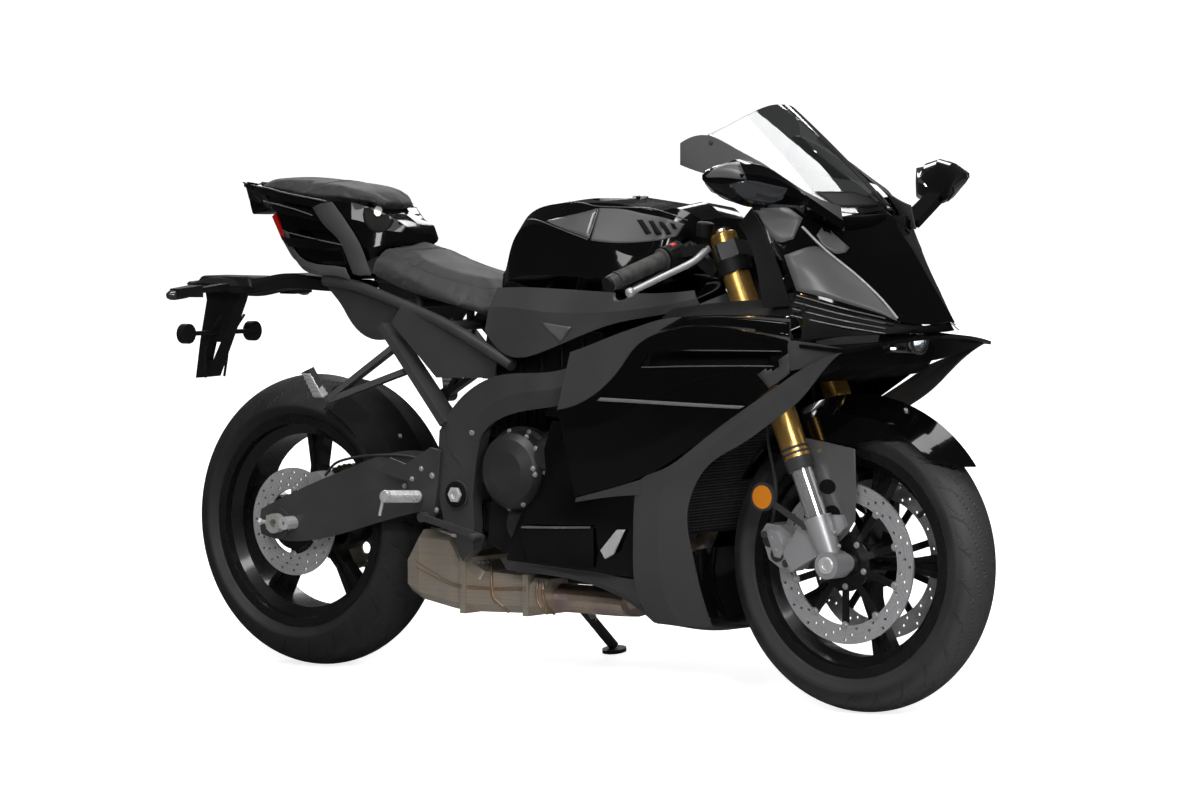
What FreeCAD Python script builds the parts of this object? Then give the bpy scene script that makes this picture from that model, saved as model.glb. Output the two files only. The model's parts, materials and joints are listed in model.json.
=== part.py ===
import FreeCAD
import Part
import math
import os

V = FreeCAD.Vector

# Driving dimensions, in millimetres and degrees.
# The bike is drawn upright: x forward from the rear axle, y to its left, z up from the ground.
wheelbase = 1420.0
rake = 22.67
trail = 94.0
lean = 9.0
stand_foot_reach = 272.0

front_tyre_radius = 300.0
front_tyre_half_width = 60.0
front_crown_radius = 62.0
front_rim_half_width = 44.5
rear_hub_half = 78.0
rear_tyre_radius = 315.0
rear_tyre_half_width = 90.0
rear_crown_radius = 93.0
rear_rim_half_width = 70.0
bead_radius = 215.9
flange_height = 13.0
flange_wall = 5.0
barrel_wall = 6.0
tyre_wall = 9.0
bead_clearance = 0.3
spoke_count = 5
spoke_width = 34.0
spoke_depth = 30.0

front_disc_radius = 160.0
front_disc_band = 37.0
front_disc_offset = 60.0
rear_disc_radius = 116.0
rear_disc_band = 46.0
rear_disc_offset = 86.0
disc_thickness = 5.0
disc_hole_radius = 3.2

front_axle_radius = 14.0
front_axle_bore = 10.0
rear_axle_radius = 14.0
rear_axle_bore = 9.5
running_gap = 0.3
seat_gap = 0.3
seam = 2.0
lower_seam = 2.7

fork_half_spacing = 104.0
fork_outer_radius = 27.5
fork_inner_radius = 21.5
fork_top = 694.0
fork_gold_end = 218.0
fork_foot_top = 98.0
fork_offset = 29.0
fork_eye_half = 25.0
stem_radius = 17.5
yoke_thickness = 34.0
lower_yoke_at = 452.0
upper_yoke_at = 662.0

arm_seat_right = 112.0
arm_seat_left = 121.0
pivot_x = 508.0
pivot_z = 400.0
pivot_pin_radius = 12.0
arm_out_right = 139.0
arm_out_left = 146.0
axle_nut = 17.0
plate_inside = 124.0
plate_outside = 152.0
beam_wall = 26.0
head_radius = 34.0
head_back = 1080.0
chain_plane = 108.0
chain_pitch = 15.875
chain_links = 110
rear_sprocket_teeth = 43
front_sprocket_teeth = 16
front_sprocket_x = 596.0
front_sprocket_z = 394.0

shock_foot = V(404.0, 0, 374.0)
shock_top = V(496.0, 0, 562.0)
shock_ear = 24.0
shock_pin_radius = 8.0
spring_radius = 37.0
rear_bracket_outer = 111.0
rear_bracket_inner = 99.0

paddock_boss_radius = 14.0
paddock_thread = 4.0
paddock_x = 40.0
paddock_z = 318.0
paddock_seat = 128.0
paddock_mouth = 168.0
fender_gap = 14.0
bridge_rear = 352.0
silencer_front = 705.0
lamp_rear = 1478.0
lamp_height = 742.0
lamp_radius = 27.0
paddock_depth = 20.0

cap_x = 820.0
cap_seat = 1006.0
cap_height = 9.0
cap_radius = 46.0

panel_wall = 3.5
glass_wall = 3.0
wing_wall = 7.0
mirror_tip = 400.0
mirror_tip_height = 1065.0
tail_end = -351.0
subframe_end = 90.0
tie_radius = 10.0
tail_tie_height = 845.0
steering_lock = 27.0
bar_radius = 11.0
grip_radius = 16.5
bar_end = 26.0
housing_radius = 23.0
bar_clearance = 6.5
lug_half = 8.0
reflector_radius = 28.0

stand_pivot = V(548.0, 128.0, 212.0)
stand_fold_direction = V(-0.965, 0.16, 0.21)
stand_tube_radius = 11.0
stand_sole = 8.0
stand_pin_radius = 7.0

# Values that follow from the driving dimensions.
lean_rad = math.radians(lean)
rake_rad = math.radians(rake)
front_axle = V(wheelbase, 0, front_tyre_radius)
rear_axle = V(0, 0, rear_tyre_radius)
steer_up = V(-math.sin(rake_rad), 0, math.cos(rake_rad))
steer_forward = V(math.cos(rake_rad), 0, math.sin(rake_rad))
steer_foot = V(wheelbase + trail, 0, 0)
drawn_wheelbase = 1420.0


def stretch(x):
    # Lengthens the body between the swingarm pivot and the steering head with the wheelbase.
    longer = wheelbase - drawn_wheelbase
    if x <= pivot_x:
        return x
    if x >= head_back:
        return x + longer
    return x + longer * (x - pivot_x) / (head_back - pivot_x)


def pt(x, y, z):
    return V(stretch(x), y, z)


def fork_point(along, side=0.0, ahead=0.0):
    # A point at a distance up the fork line from the front axle, and ahead of it.
    return front_axle + steer_up * along + steer_forward * ahead + V(0, side, 0)


# The parked frame: the bike leans to its left on its stand, and its box is centred on the origin.

def leaned(v):
    c = math.cos(lean_rad)
    s = math.sin(lean_rad)
    return V(v.x, v.y * c + v.z * s, v.z * c - v.y * s)


def parked_origin():
    rear_low = (rear_tyre_radius - rear_crown_radius) * math.cos(lean_rad)
    axle_height = leaned(rear_axle).z
    low = axle_height - rear_low - rear_crown_radius
    left = leaned(V(0, mirror_tip, mirror_tip_height)).y
    right = leaned(V(0, -mirror_tip, mirror_tip_height)).y
    middle_x = (tail_end + wheelbase + front_tyre_radius) / 2
    return V(middle_x, (left + right) / 2, low)


def parked(v):
    return leaned(v) - parked_origin()


def unparked_direction(v):
    # A direction in the parked frame, seen in the upright bike's frame.
    c = math.cos(lean_rad)
    s = math.sin(lean_rad)
    return V(v.x, v.y * c - v.z * s, v.z * c + v.y * s)


def floor_height(x, y):
    # Height in the upright frame of the parked floor below a point.
    return (parked_origin().z + y * math.sin(lean_rad)) / math.cos(lean_rad)


# Building blocks

kept_shapes = {}


def once(make):
    # Keeps what a function makes, so that a shape that others are cut by is built only once.
    def kept(*args):
        key = (make.__name__,) + args
        if key not in kept_shapes:
            kept_shapes[key] = make(*args)
        return kept_shapes[key]
    return kept


def cyl(start, end, radius):
    axis = end - start
    return Part.makeCylinder(radius, axis.Length, start, axis)


def tube(start, end, radius, bore):
    return cyl(start, end, radius).cut(cyl(start, end, bore))


def cone(start, end, r1, r2):
    axis = end - start
    return Part.makeCone(r1, r2, axis.Length, start, axis)


def polygon(points):
    return Part.Face(Part.makePolygon(points + [points[0]]))


def plate_xz(outline, y0, y1):
    # A flat plate with an outline in x and z, between two y planes.
    face = polygon([pt(x, y0, z) for x, z in outline])
    return face.extrude(V(0, y1 - y0, 0))


def box_between(a, b):
    low = V(min(a.x, b.x), min(a.y, b.y), min(a.z, b.z))
    size = V(abs(a.x - b.x), abs(a.y - b.y), abs(a.z - b.z))
    return Part.makeBox(size.x, size.y, size.z, low)


def bar(a, b, up, width, height, width_end=None, height_end=None):
    # A tapered bar with a rectangular section from a to b.
    along = (b - a).normalize()
    side = along.cross(up).normalize()
    top = side.cross(along).normalize()
    wires = []
    for centre, w, h in ((a, width, height), (b, width_end or width, height_end or height)):
        corners = []
        for i, j in ((-1, -1), (1, -1), (1, 1), (-1, 1)):
            corners.append(centre + side * (i * w / 2) + top * (j * h / 2))
        wires.append(Part.makePolygon(corners + [corners[0]]))
    return Part.makeLoft(wires, True, True)


def spline(points):
    if len(points) == 2:
        return Part.makeLine(points[0], points[1])
    curve = Part.BSplineCurve()
    curve.interpolate(points)
    return curve.toShape()


def pipe(points, radius):
    # A round tube along straight runs and tangent bends.
    path = rounded_path(points)
    circle = Part.Wire([Part.makeCircle(radius, points[0], points[1] - points[0])])
    return path.makePipeShell([circle], True, True)


def ring_loft(rings, ruled=False):
    wires = [Part.makePolygon(r + [r[0]]) for r in rings]
    return Part.makeLoft(wires, True, ruled)


def half_ring(x, half):
    # A closed section across the bike from its right half, listed from top centre to bottom centre.
    right = [pt(x, -y, z) for y, z in half]
    left = [pt(x, y, z) for y, z in reversed(half) if y > 0.01]
    return right + left


def mirrored(shape):
    return shape.mirror(V(0, 0, 0), V(0, 1, 0))


def both(shape):
    return [shape, mirrored(shape)]


def fused(shapes):
    solid = shapes[0]
    for s in shapes[1:]:
        solid = solid.fuse(s)
    return solid.removeSplitter()


def turned(shape, angle, centre, axis):
    copy = shape.copy()
    copy.rotate(centre, axis, angle)
    return copy


def offset_grid(rails, distance, inside):
    # Each point of the grid moved inwards by a distance, square to the surface.
    rows = len(rails)
    cols = len(rails[0])
    moved = []
    for i in range(rows):
        row = []
        for j in range(cols):
            p = rails[i][j]
            along = rails[i][min(j + 1, cols - 1)] - rails[i][max(j - 1, 0)]
            across = rails[min(i + 1, rows - 1)][j] - rails[max(i - 1, 0)][j]
            normal = along.cross(across)
            if abs(p.y) < 0.01:
                normal.y = 0
            normal.normalize()
            if normal.dot(inside - p) < 0:
                normal = normal * -1
            row.append(p + normal * distance)
        moved.append(row)
    return moved


def band_faces(rails, smooth):
    wires = [Part.Wire([spline(r)]) for r in rails]
    if smooth and len(rails) > 2:
        return Part.makeLoft(wires, False, False).Faces
    faces = []
    for a, b in zip(wires[:-1], wires[1:]):
        faces.append(Part.makeRuledSurface(a.Edges[0], b.Edges[0]))
    return faces


def edge_between(faces, ends):
    # The faces' edges whose two ends both lie on the given points.
    found = []
    for face in faces:
        for edge in face.Edges:
            if all(min(v.Point.distanceToPoint(p) for p in ends) < 0.001 for v in edge.Vertexes):
                found.append(edge)
    return found


def skin(rails, thickness, inside, smooth=False, extra=0.0):
    # A shell panel with a wall, whose outer face runs through the rails from top to bottom.
    # With an extra it is thicker by that much on both faces, to cut what seats against it.
    outer_rails = offset_grid(rails, -extra, inside) if extra else rails
    inner_rails = offset_grid(rails, thickness + extra, inside)
    outer = band_faces(outer_rails, smooth)
    inner = band_faces(inner_rails, smooth)
    faces = outer + inner
    for k in (0, -1):
        faces.append(Part.makeRuledSurface(spline(outer_rails[k]), spline(inner_rails[k])))
        out_edges = edge_between(outer, [r[k] for r in outer_rails])
        in_edges = edge_between(inner, [r[k] for r in inner_rails])
        for a, b in zip(out_edges, in_edges):
            faces.append(Part.makeRuledSurface(a, b))
    shell = Part.makeCompound(faces)
    shell.sewShape(0.01)
    solid = Part.Solid(shell.Shells[0] if shell.Shells else shell)
    if solid.Volume < 0:
        solid.reverse()
    return solid


def rail(*points):
    return [pt(*p) for p in points]


def lowered(points, drop):
    # The same rail a little lower, for a panel that meets the one above it at a seam.
    return [p - V(0, 0, drop) for p in points]


def largest(shape):
    return sorted(shape.Solids, key=lambda s: -s.Volume)[0]


def loft_of(stations, ruled=False):
    # A body lofted through half sections, each given at its own x.
    return ring_loft([half_ring(x, half) for x, half in stations], ruled)


# Wheels, discs and what carries them

def tyre_solid(centre, radius, half_width, crown, rim_half):
    shoulder = half_width - 1.5
    shoulder_r = radius - crown + math.sqrt(crown ** 2 - shoulder ** 2)
    belly_r = (shoulder_r + bead_radius + flange_height) / 2
    foot = rim_half - bead_clearance
    foot_r = bead_radius + bead_clearance

    def p(y, r):
        return centre + V(0, y, r)

    def side(s, inset, belly_shift):
        # Sidewall from shoulder to bead, as two arcs' end points.
        return (p(s * (shoulder - inset), shoulder_r),
                p(s * (half_width - inset), belly_r + belly_shift))

    def outline(inset):
        left, left_belly = side(1, inset, 0)
        right, right_belly = side(-1, inset, 0)
        top = p(0, radius - inset)
        return left, left_belly, right, right_belly, top

    lo, lob, ro, rob, to = outline(0)
    li, lib, ri, rib, ti = outline(tyre_wall)
    flange_r = bead_radius + flange_height
    edges = [
        Part.Arc(ro, to, lo).toShape(),
        Part.Arc(lo, lob, p(rim_half + 3.5, flange_r + 1.0)).toShape(),
        Part.makeLine(p(rim_half + 3.5, flange_r + 1.0), p(foot, flange_r + 1.0)),
        Part.makeLine(p(foot, flange_r + 1.0), p(foot, foot_r)),
        Part.makeLine(p(foot, foot_r), p(foot - 12, foot_r)),
        Part.makeLine(p(foot - 12, foot_r), p(foot - 10, flange_r + 4)),
        Part.Arc(p(foot - 10, flange_r + 4), lib, li).toShape(),
        Part.Arc(li, ti, ri).toShape(),
        Part.Arc(ri, rib, p(-foot + 10, flange_r + 4)).toShape(),
        Part.makeLine(p(-foot + 10, flange_r + 4), p(-foot + 12, foot_r)),
        Part.makeLine(p(-foot + 12, foot_r), p(-foot, foot_r)),
        Part.makeLine(p(-foot, foot_r), p(-foot, flange_r + 1.0)),
        Part.makeLine(p(-foot, flange_r + 1.0), p(-rim_half - 3.5, flange_r + 1.0)),
        Part.Arc(p(-rim_half - 3.5, flange_r + 1.0), rob, ro).toShape(),
    ]
    return Part.Face(Part.Wire(edges)).revolve(centre, V(0, 1, 0), 360)


def front_tyre():
    return tyre_solid(front_axle, front_tyre_radius, front_tyre_half_width, front_crown_radius,
                      front_rim_half_width)


def rear_tyre():
    return tyre_solid(rear_axle, rear_tyre_radius, rear_tyre_half_width, rear_crown_radius,
                      rear_rim_half_width)


def revolved(centre, profile):
    # A solid of revolution about a wheel's axle line from a closed list of (y, radius).
    points = [centre + V(0, y, r) for y, r in profile]
    return polygon(points).revolve(centre, V(0, 1, 0), 360)


def rim_barrel(centre, half):
    out = half + flange_wall
    bead = bead_radius
    flange = bead + flange_height
    well = bead - 22
    wall = barrel_wall
    profile = [
        (out, flange), (half, flange), (half, bead), (half - 18, bead - 2), (half - 32, well),
        (-half + 32, well), (-half + 18, bead - 2), (-half, bead), (-half, flange), (-out, flange),
        (-out, bead - wall), (-half + 14, bead - wall - 2), (-half + 28, well - wall),
        (half - 28, well - wall), (half - 14, bead - wall - 2), (out, bead - wall),
    ]
    return revolved(centre, profile)


def spoke(centre, hub_radius, reach, depth_hub, depth_rim):
    # A cast spoke that widens to the rim, with a groove down each face.
    sections = ((hub_radius, spoke_width * 0.8, depth_hub), (reach * 0.62, spoke_width * 0.72, depth_rim),
                (reach, spoke_width * 1.5, depth_rim * 0.9))
    rings = []
    for r, w, d in sections:
        g = w * 0.2
        ring = [(-w / 2, -d / 2), (-g, -d / 2), (-g * 0.6, -d / 2 + 7), (g * 0.6, -d / 2 + 7), (g, -d / 2),
                (w / 2, -d / 2), (w / 2, d / 2), (g, d / 2), (g * 0.6, d / 2 - 7), (-g * 0.6, d / 2 - 7),
                (-g, d / 2), (-w / 2, d / 2)]
        rings.append([centre + V(x, y, r) for x, y in ring])
    return ring_loft(rings, ruled=True)


def wheel_casting(centre, rim_half, hub_half, hub_radius, axle_radius, depth, first_angle):
    parts = [rim_barrel(centre, rim_half)]
    reach = bead_radius - 22 - barrel_wall + 2
    one = spoke(centre, hub_radius - 6, reach, depth * 1.5, depth)
    for k in range(spoke_count):
        parts.append(turned(one, first_angle + 360.0 / spoke_count * k, centre, V(0, 1, 0)))
    a = centre - V(0, hub_half, 0)
    b = centre + V(0, hub_half, 0)
    parts.append(cyl(a, b, hub_radius * 0.72))
    parts.append(cyl(centre - V(0, depth * 0.9, 0), centre + V(0, depth * 0.9, 0), hub_radius))
    solid = fused(parts)
    return solid.cut(cyl(a - V(0, 1, 0), b + V(0, 1, 0), axle_radius + running_gap))


def disc_ring(centre, y, outer, band):
    half = disc_thickness / 2
    a = centre + V(0, y - half, 0)
    b = centre + V(0, y + half, 0)
    ring = cyl(a, b, outer).cut(cyl(a, b, outer - band))
    holes = []
    rows = ((outer - band * 0.22, 0.0), (outer - band * 0.5, 6.0), (outer - band * 0.78, 12.0))
    for k in range(20):
        for r, shift in rows:
            angle = math.radians(18.0 * k + shift)
            c = V(centre.x + r * math.cos(angle), 0, centre.z + r * math.sin(angle))
            holes.append(cyl(V(c.x, a.y - 1, c.z), V(c.x, b.y + 1, c.z), disc_hole_radius))
    return ring.cut(Part.makeCompound(holes))


def disc_carrier(centre, y, hub_reach_y, inner, outer, arms):
    # The spider between hub and disc: a ring, arms out to the disc, and a boss back to the hub.
    half = disc_thickness / 2
    a = centre + V(0, y - half, 0)
    b = centre + V(0, y + half, 0)
    solid = cyl(a, b, inner + 26).cut(cyl(a, b, inner))
    for k in range(arms):
        arm = box_between(V(centre.x - 7, a.y, centre.z + inner + 10),
                          V(centre.x + 7, b.y, centre.z + outer - 0.3))
        solid = solid.fuse(turned(arm, 360.0 / arms * k, centre, V(0, 1, 0)))
    rim = centre + V(0, hub_reach_y, 0)
    near = a if abs(hub_reach_y - a.y) > abs(hub_reach_y - b.y) else b
    solid = solid.fuse(cyl(rim, near, inner + 8).cut(cyl(rim, near, inner)))
    # Trimmed to clear the disc's inner edge by a hair.
    keep = cyl(centre + V(0, -200, 0), centre + V(0, 200, 0), outer - 0.3)
    return solid.common(keep)


def front_rim():
    c = front_axle
    depth = spoke_depth
    wheel = wheel_casting(c, front_rim_half_width, front_disc_offset - 2, 44, front_axle_radius, depth, 18)
    carriers = []
    inner_edge = front_disc_radius - front_disc_band
    for s in (-1, 1):
        carriers.append(disc_carrier(c, s * front_disc_offset, s * depth * 0.8, 30, inner_edge, 10))
    return fused([wheel] + carriers)


def front_discs():
    return both(disc_ring(front_axle, -front_disc_offset, front_disc_radius, front_disc_band))


def rear_rim():
    c = rear_axle
    wheel = wheel_casting(c, rear_rim_half_width, rear_hub_half, 58, rear_axle_radius, spoke_depth * 1.15, 0)
    inner_edge = rear_disc_radius - rear_disc_band
    carrier = disc_carrier(c, -rear_disc_offset, -40, 34, inner_edge, 6)
    cush = cyl(c + V(0, 20, 0), c + V(0, chain_plane - 14, 0), 72).cut(
        cyl(c, c + V(0, chain_plane, 0), rear_axle_radius + running_gap))
    return fused([wheel, carrier, cush])


def rear_disc():
    return disc_ring(rear_axle, -rear_disc_offset, rear_disc_radius, rear_disc_band)


def pitch_radius(teeth):
    return chain_pitch / (2 * math.sin(math.pi / teeth))


def rear_sprocket():
    r = pitch_radius(rear_sprocket_teeth)
    c = rear_axle + V(0, chain_plane - 3, 0)
    points = []
    for k in range(rear_sprocket_teeth):
        for share, rad in ((-0.22, r - 5.5), (0.22, r - 5.5), (0.42, r + 4), (0.58, r + 4)):
            angle = 2 * math.pi * (k + share) / rear_sprocket_teeth
            points.append(c + V(rad * math.cos(angle), 0, rad * math.sin(angle)))
    disc = polygon(points).extrude(V(0, 6, 0))
    cuts = [cyl(c - V(0, 1, 0), c + V(0, 8, 0), 34)]
    for k in range(6):
        angle = math.radians(60 * k)
        hole = c + V(78 * math.cos(angle), 0, 78 * math.sin(angle))
        cuts.append(cyl(hole - V(0, 1, 0), hole + V(0, 8, 0), 13))
    carrier = tube(rear_axle + V(0, chain_plane - 13.7, 0), rear_axle + V(0, chain_plane - 3, 0), 62, 34)
    return disc.cut(Part.makeCompound(cuts)).fuse(carrier)


# Chain: two rows of link plates, open between them for the sprocket teeth

def chain_path():
    # Centre line points at each pin, anticlockwise seen from the left.
    r1 = pitch_radius(rear_sprocket_teeth)
    r2 = pitch_radius(front_sprocket_teeth)
    a = V(rear_axle.x, 0, rear_axle.z)
    b = pt(front_sprocket_x, 0, front_sprocket_z)
    line = b - a
    base = math.atan2(line.z, line.x)
    lift = math.acos((r1 - r2) / line.Length)
    top = base + lift
    low = base - lift

    def on(c, r, angle):
        return V(c.x + r * math.cos(angle), 0, c.z + r * math.sin(angle))

    run = math.sqrt(line.Length ** 2 - (r1 - r2) ** 2)
    rear_arc = r1 * (2 * math.pi - 2 * lift)
    front_arc = r2 * 2 * lift
    total = 2 * run + rear_arc + front_arc
    points = []
    for k in range(chain_links):
        s = total * k / chain_links
        if s < run:
            points.append(on(a, r1, top) + (on(b, r2, top) - on(a, r1, top)) * (s / run))
        elif s < run + front_arc:
            points.append(on(b, r2, top - (s - run) / r2))
        elif s < 2 * run + front_arc:
            t = (s - run - front_arc) / run
            points.append(on(b, r2, low) + (on(a, r1, low) - on(b, r2, low)) * t)
        else:
            points.append(on(a, r1, low - (s - 2 * run - front_arc) / r1))
    return points


def chain_side(points, y0, y1, swell, waist):
    # One row of plates as a loop whose edges swell at each pin.
    outer = []
    inner = []
    n = len(points)
    for k in range(n):
        p = points[k]
        q = points[(k + 1) % n]
        along = (q - points[k - 1]).normalize()
        normal = V(-along.z, 0, along.x)
        middle = (p + q) * 0.5
        step = (q - p).normalize()
        across = V(-step.z, 0, step.x)
        outer += [p + normal * swell, middle + across * waist]
        inner += [p - normal * swell, middle - across * waist]
    rise = V(0, y0, 0)
    faces = [polygon([v + rise for v in ring]) for ring in (outer, inner)]
    big, small = (faces if faces[0].Area > faces[1].Area else faces[::-1])
    return big.cut(small).extrude(V(0, y1 - y0, 0))


def drive_chain():
    points = chain_path()
    rows = [chain_side(points, chain_plane - 10, chain_plane - 6.5, 7.0, 5.2),
            chain_side(points, chain_plane + 6.5, chain_plane + 10, 7.0, 5.2)]
    reach = pitch_radius(rear_sprocket_teeth) + 14
    pins = []
    for p in points:
        if (V(p.x, 0, p.z) - V(rear_axle.x, 0, rear_axle.z)).Length > reach:
            corner = V(3.5, 6.5, 3.5)
            centre = V(p.x, chain_plane, p.z)
            pins.append(box_between(centre - corner, centre + corner))
    return rows[0].multiFuse(pins + [rows[1]])


# Frame, swingarm and the pieces that carry the wheels

@once
def main_frame():
    top = rail((459, -150, 532), (520, -158, 600), (651, -182, 654), (810, -197, 668), (960, -172, 735),
               (1080, -105, 800), (1150, -42, 838))
    mid = rail((500, -156, 480), (555, -165, 550), (672, -190, 612), (812, -206, 632), (965, -182, 690),
               (1090, -112, 760), (1160, -44, 795))
    low = rail((545, -150, 440), (582, -158, 532), (690, -182, 578), (815, -198, 598), (965, -176, 650),
               (1095, -108, 718), (1172, -42, 755))
    beam = skin([top, mid, low], beam_wall, pt(850, 0, 600))
    outline = [(459, 532), (545, 560), (575, 538), (558, 480), (548, 400), (552, 340), (548, 285),
               (520, 262), (500, 300), (470, 345), (452, 420)]
    plate = plate_xz(outline, -plate_outside, -plate_inside)
    sides = both(beam) + both(plate)
    head_low = steer_foot + steer_up * (fork_height_on_axis(lower_yoke_at) + yoke_thickness / 2 + 1)
    head_high = steer_foot + steer_up * (fork_height_on_axis(upper_yoke_at) - yoke_thickness / 2 - 1)
    head = cyl(head_low, head_high, head_radius)
    web = box_between(pt(1115, -62, 765), pt(1160, 62, 815))
    cross_low = cyl(pt(520, -plate_inside, 300), pt(520, plate_inside, 300), 17)
    shock_pin = shock_top + V(16, 0, 16)
    cross_mid = cyl(shock_pin - V(0, 140, 0), shock_pin + V(0, 140, 0), 15)
    boss_out = plate_outside + 6
    pivot = []
    for s in (-1, 1):
        pivot.append(cyl(V(pivot_x, s * plate_inside, pivot_z), V(pivot_x, s * boss_out, pivot_z), 30))
    pin = cyl(V(pivot_x, -boss_out, pivot_z), V(pivot_x, boss_out, pivot_z), pivot_pin_radius - running_gap)
    solid = fused(sides + [head, web, cross_low, cross_mid, pin, stand_bracket()] + pivot)
    bore = cyl(head_low - steer_up * 5, head_high + steer_up * 5, stem_radius + running_gap)
    return solid.cut(bore).cut(rear_shock_body(seat_gap))


def fork_height_on_axis(along):
    # Distance up the steering axis from the ground at a distance up the fork line.
    return (fork_point(along) - steer_foot).dot(steer_up)


def subframe_bars(extra):
    # The two upper rails, the two lower stays and the ties between them.
    bars = []
    for s in (-1, 1):
        upper = rail((655, s * 155, 672), (476, s * 138, 749), (335, s * 122, 790), (189, s * 104, 828),
                     (subframe_end, s * 84, 836))
        bars.append(pipe(upper, 12 + extra))
    for x, y, z in ((subframe_end, 84, tail_tie_height), (335, 122, 790), (476, 138, 749)):
        bars.append(cyl(pt(x, -y, z), pt(x, y, z), tie_radius + extra))
    return fused(bars + subframe_stays(extra))


@once
def subframe():
    pieces = [subframe_bars(0)]
    for x, y in ((450, 96), (350, 86)):
        for s in (-1, 1):
            pieces.append(cyl(pt(x, s * y, 750), pt(x, s * y, 830), 9))
    web = [(318, 752), (345, 788), (476, 749), (540, 716), (604, 690), (596, 644), (440, 640)]
    cover_top = rail((84, -80, 828), (200, -98, 816), (330, -118, 786))
    cover_low = rail((138, -86, 782), (222, -98, 716), (284, -108, 716))
    for s in (-1, 1):
        pieces.append(plate_xz(web, s * 134, s * 139))
        cover = skin([cover_top, cover_low], 5, pt(220, 0, 780))
        pieces.append(cover if s < 0 else mirrored(cover))
    solid = fused(pieces).cut(rider_seat(seat_gap)).cut(main_frame())
    return largest(solid)


@once
def swingarm():
    right = rail((-58, -128, 342), (50, -130, 388), (190, -130, 440), (321, -120, 480), (420, -108, 478),
                 (500, -98, 440))
    right_mid = rail((-58, -133, 315), (50, -137, 333), (190, -137, 372), (321, -128, 415), (420, -116, 425),
                     (500, -104, 402))
    right_low = rail((-58, -128, 288), (50, -130, 278), (190, -130, 305), (330, -120, 345), (420, -108, 362),
                     (500, -98, 362))
    arm = skin([right, right_mid, right_low], 16, pt(200, 0, 380))
    left_top = rail((-58, 137, 342), (60, 138, 366), (180, 137, 384), (300, 122, 398), (400, 96, 405),
                    (500, 90, 412))
    left_mid = rail((-58, 141, 315), (60, 143, 325), (180, 142, 340), (300, 128, 360), (400, 102, 380),
                    (500, 94, 396))
    left_low = rail((-58, 137, 288), (60, 138, 284), (180, 137, 296), (300, 122, 322), (400, 96, 348),
                    (500, 90, 372))
    left = skin([left_top, left_mid, left_low], 14, pt(200, 0, 340))
    section = ((bridge_rear, 352), (bridge_rear, 455), (430, 468), (452, 440), (440, 372), (400, 350))
    bridge = ring_loft([[pt(x, y, z) for x, z in section] for y in (-100, 84)], ruled=True)
    pivot = cyl(V(pivot_x, -115, pivot_z), V(pivot_x, 92, pivot_z), 32)
    link_left = box_between(pt(440, 66, 372), pt(515, 90, 408))
    axis = (shock_top - shock_foot).normalize()
    ears = []
    for s in (-1, 1):
        ear = plate_xz([(382, 384), (426, 384), (426, 356), (382, 356)], s * shock_ear, s * 58)
        ears.append(ear)
    bosses = [cyl(rear_axle + V(0, -arm_out_right, 0), rear_axle + V(0, -arm_seat_right, 0), 32),
              cyl(rear_axle + V(0, arm_seat_left, 0), rear_axle + V(0, arm_out_left, 0), 32)]
    solid = fused([arm, left, bridge, pivot, link_left] + bosses)
    axle_hole = cyl(rear_axle - V(0, 250, 0), rear_axle + V(0, 250, 0), rear_axle_radius + running_gap)
    pin_hole = cyl(V(pivot_x, -200, pivot_z), V(pivot_x, 200, pivot_z), pivot_pin_radius)
    shock_hole = cyl(shock_foot - V(0, 70, 0), shock_foot + V(0, 70, 0), shock_pin_radius)
    well = cyl(shock_foot - axis * 40, shock_top, spring_radius + 7)
    return fused([solid.cut(well)] + ears).cut(shock_hole).cut(axle_hole).cut(pin_hole)


def rear_axle_set():
    a = rear_axle + V(0, -arm_out_right - axle_nut, 0)
    b = rear_axle + V(0, arm_out_left + axle_nut, 0)
    shaft = cyl(a, b, rear_axle_radius)
    spacer_right = cyl(rear_axle + V(0, -arm_seat_right + seat_gap, 0),
                       rear_axle + V(0, -rear_hub_half - seat_gap, 0), 20)
    spacer_left = cyl(rear_axle + V(0, chain_plane - 14 + seat_gap, 0),
                      rear_axle + V(0, arm_seat_left - seat_gap, 0), 20)
    nuts = [cyl(a, rear_axle + V(0, -arm_out_right - seat_gap, 0), 21),
            cyl(rear_axle + V(0, arm_out_left + seat_gap, 0), b, 21)]
    solid = fused([shaft, spacer_right, spacer_left] + nuts)
    return solid.cut(cyl(a - V(0, 1, 0), b + V(0, 1, 0), rear_axle_bore))


def paddock_bosses():
    # The blind threaded bosses that a workshop stand's bobbins screw into.
    found = []
    for s in (-1, 1):
        root = pt(paddock_x, s * paddock_seat, paddock_z)
        floor = pt(paddock_x, s * (paddock_mouth - paddock_depth), paddock_z)
        mouth = pt(paddock_x, s * paddock_mouth, paddock_z)
        boss = cyl(root, mouth, paddock_boss_radius).cut(swingarm())
        found.append(largest(boss).cut(cyl(floor, mouth + V(0, s, 0), paddock_thread)))
    return found


def rear_hugger():
    rails = []
    c = rear_axle
    for y in (-102, -78, 0, 78, 96):
        row = []
        drop = 0 if abs(y) < 60 else (16 if abs(y) < 90 else 60)
        for degrees in (18, 36, 54, 70):
            angle = math.radians(degrees)
            r = rear_tyre_radius + 14 - drop
            row.append(c + V(r * math.cos(angle), y, r * math.sin(angle)))
        rails.append(row)
    # One lug reaches the right arm and a tongue in front meets the bridge between the arms.
    arm = swingarm().copy()
    arm.translate(V(0, seat_gap, 0))
    lug = largest(box_between(pt(236, -122, 430), pt(254, -97.5, 448)).cut(arm))
    tongue = box_between(pt(308, -25, 411), pt(bridge_rear - seat_gap, 25, 416))
    return fused([skin(rails, 3, c + V(150, 0, 100)), lug, tongue])


def rear_shock_body(extra):
    return cyl(shock_foot, shock_top, 23.5 + extra)


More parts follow.
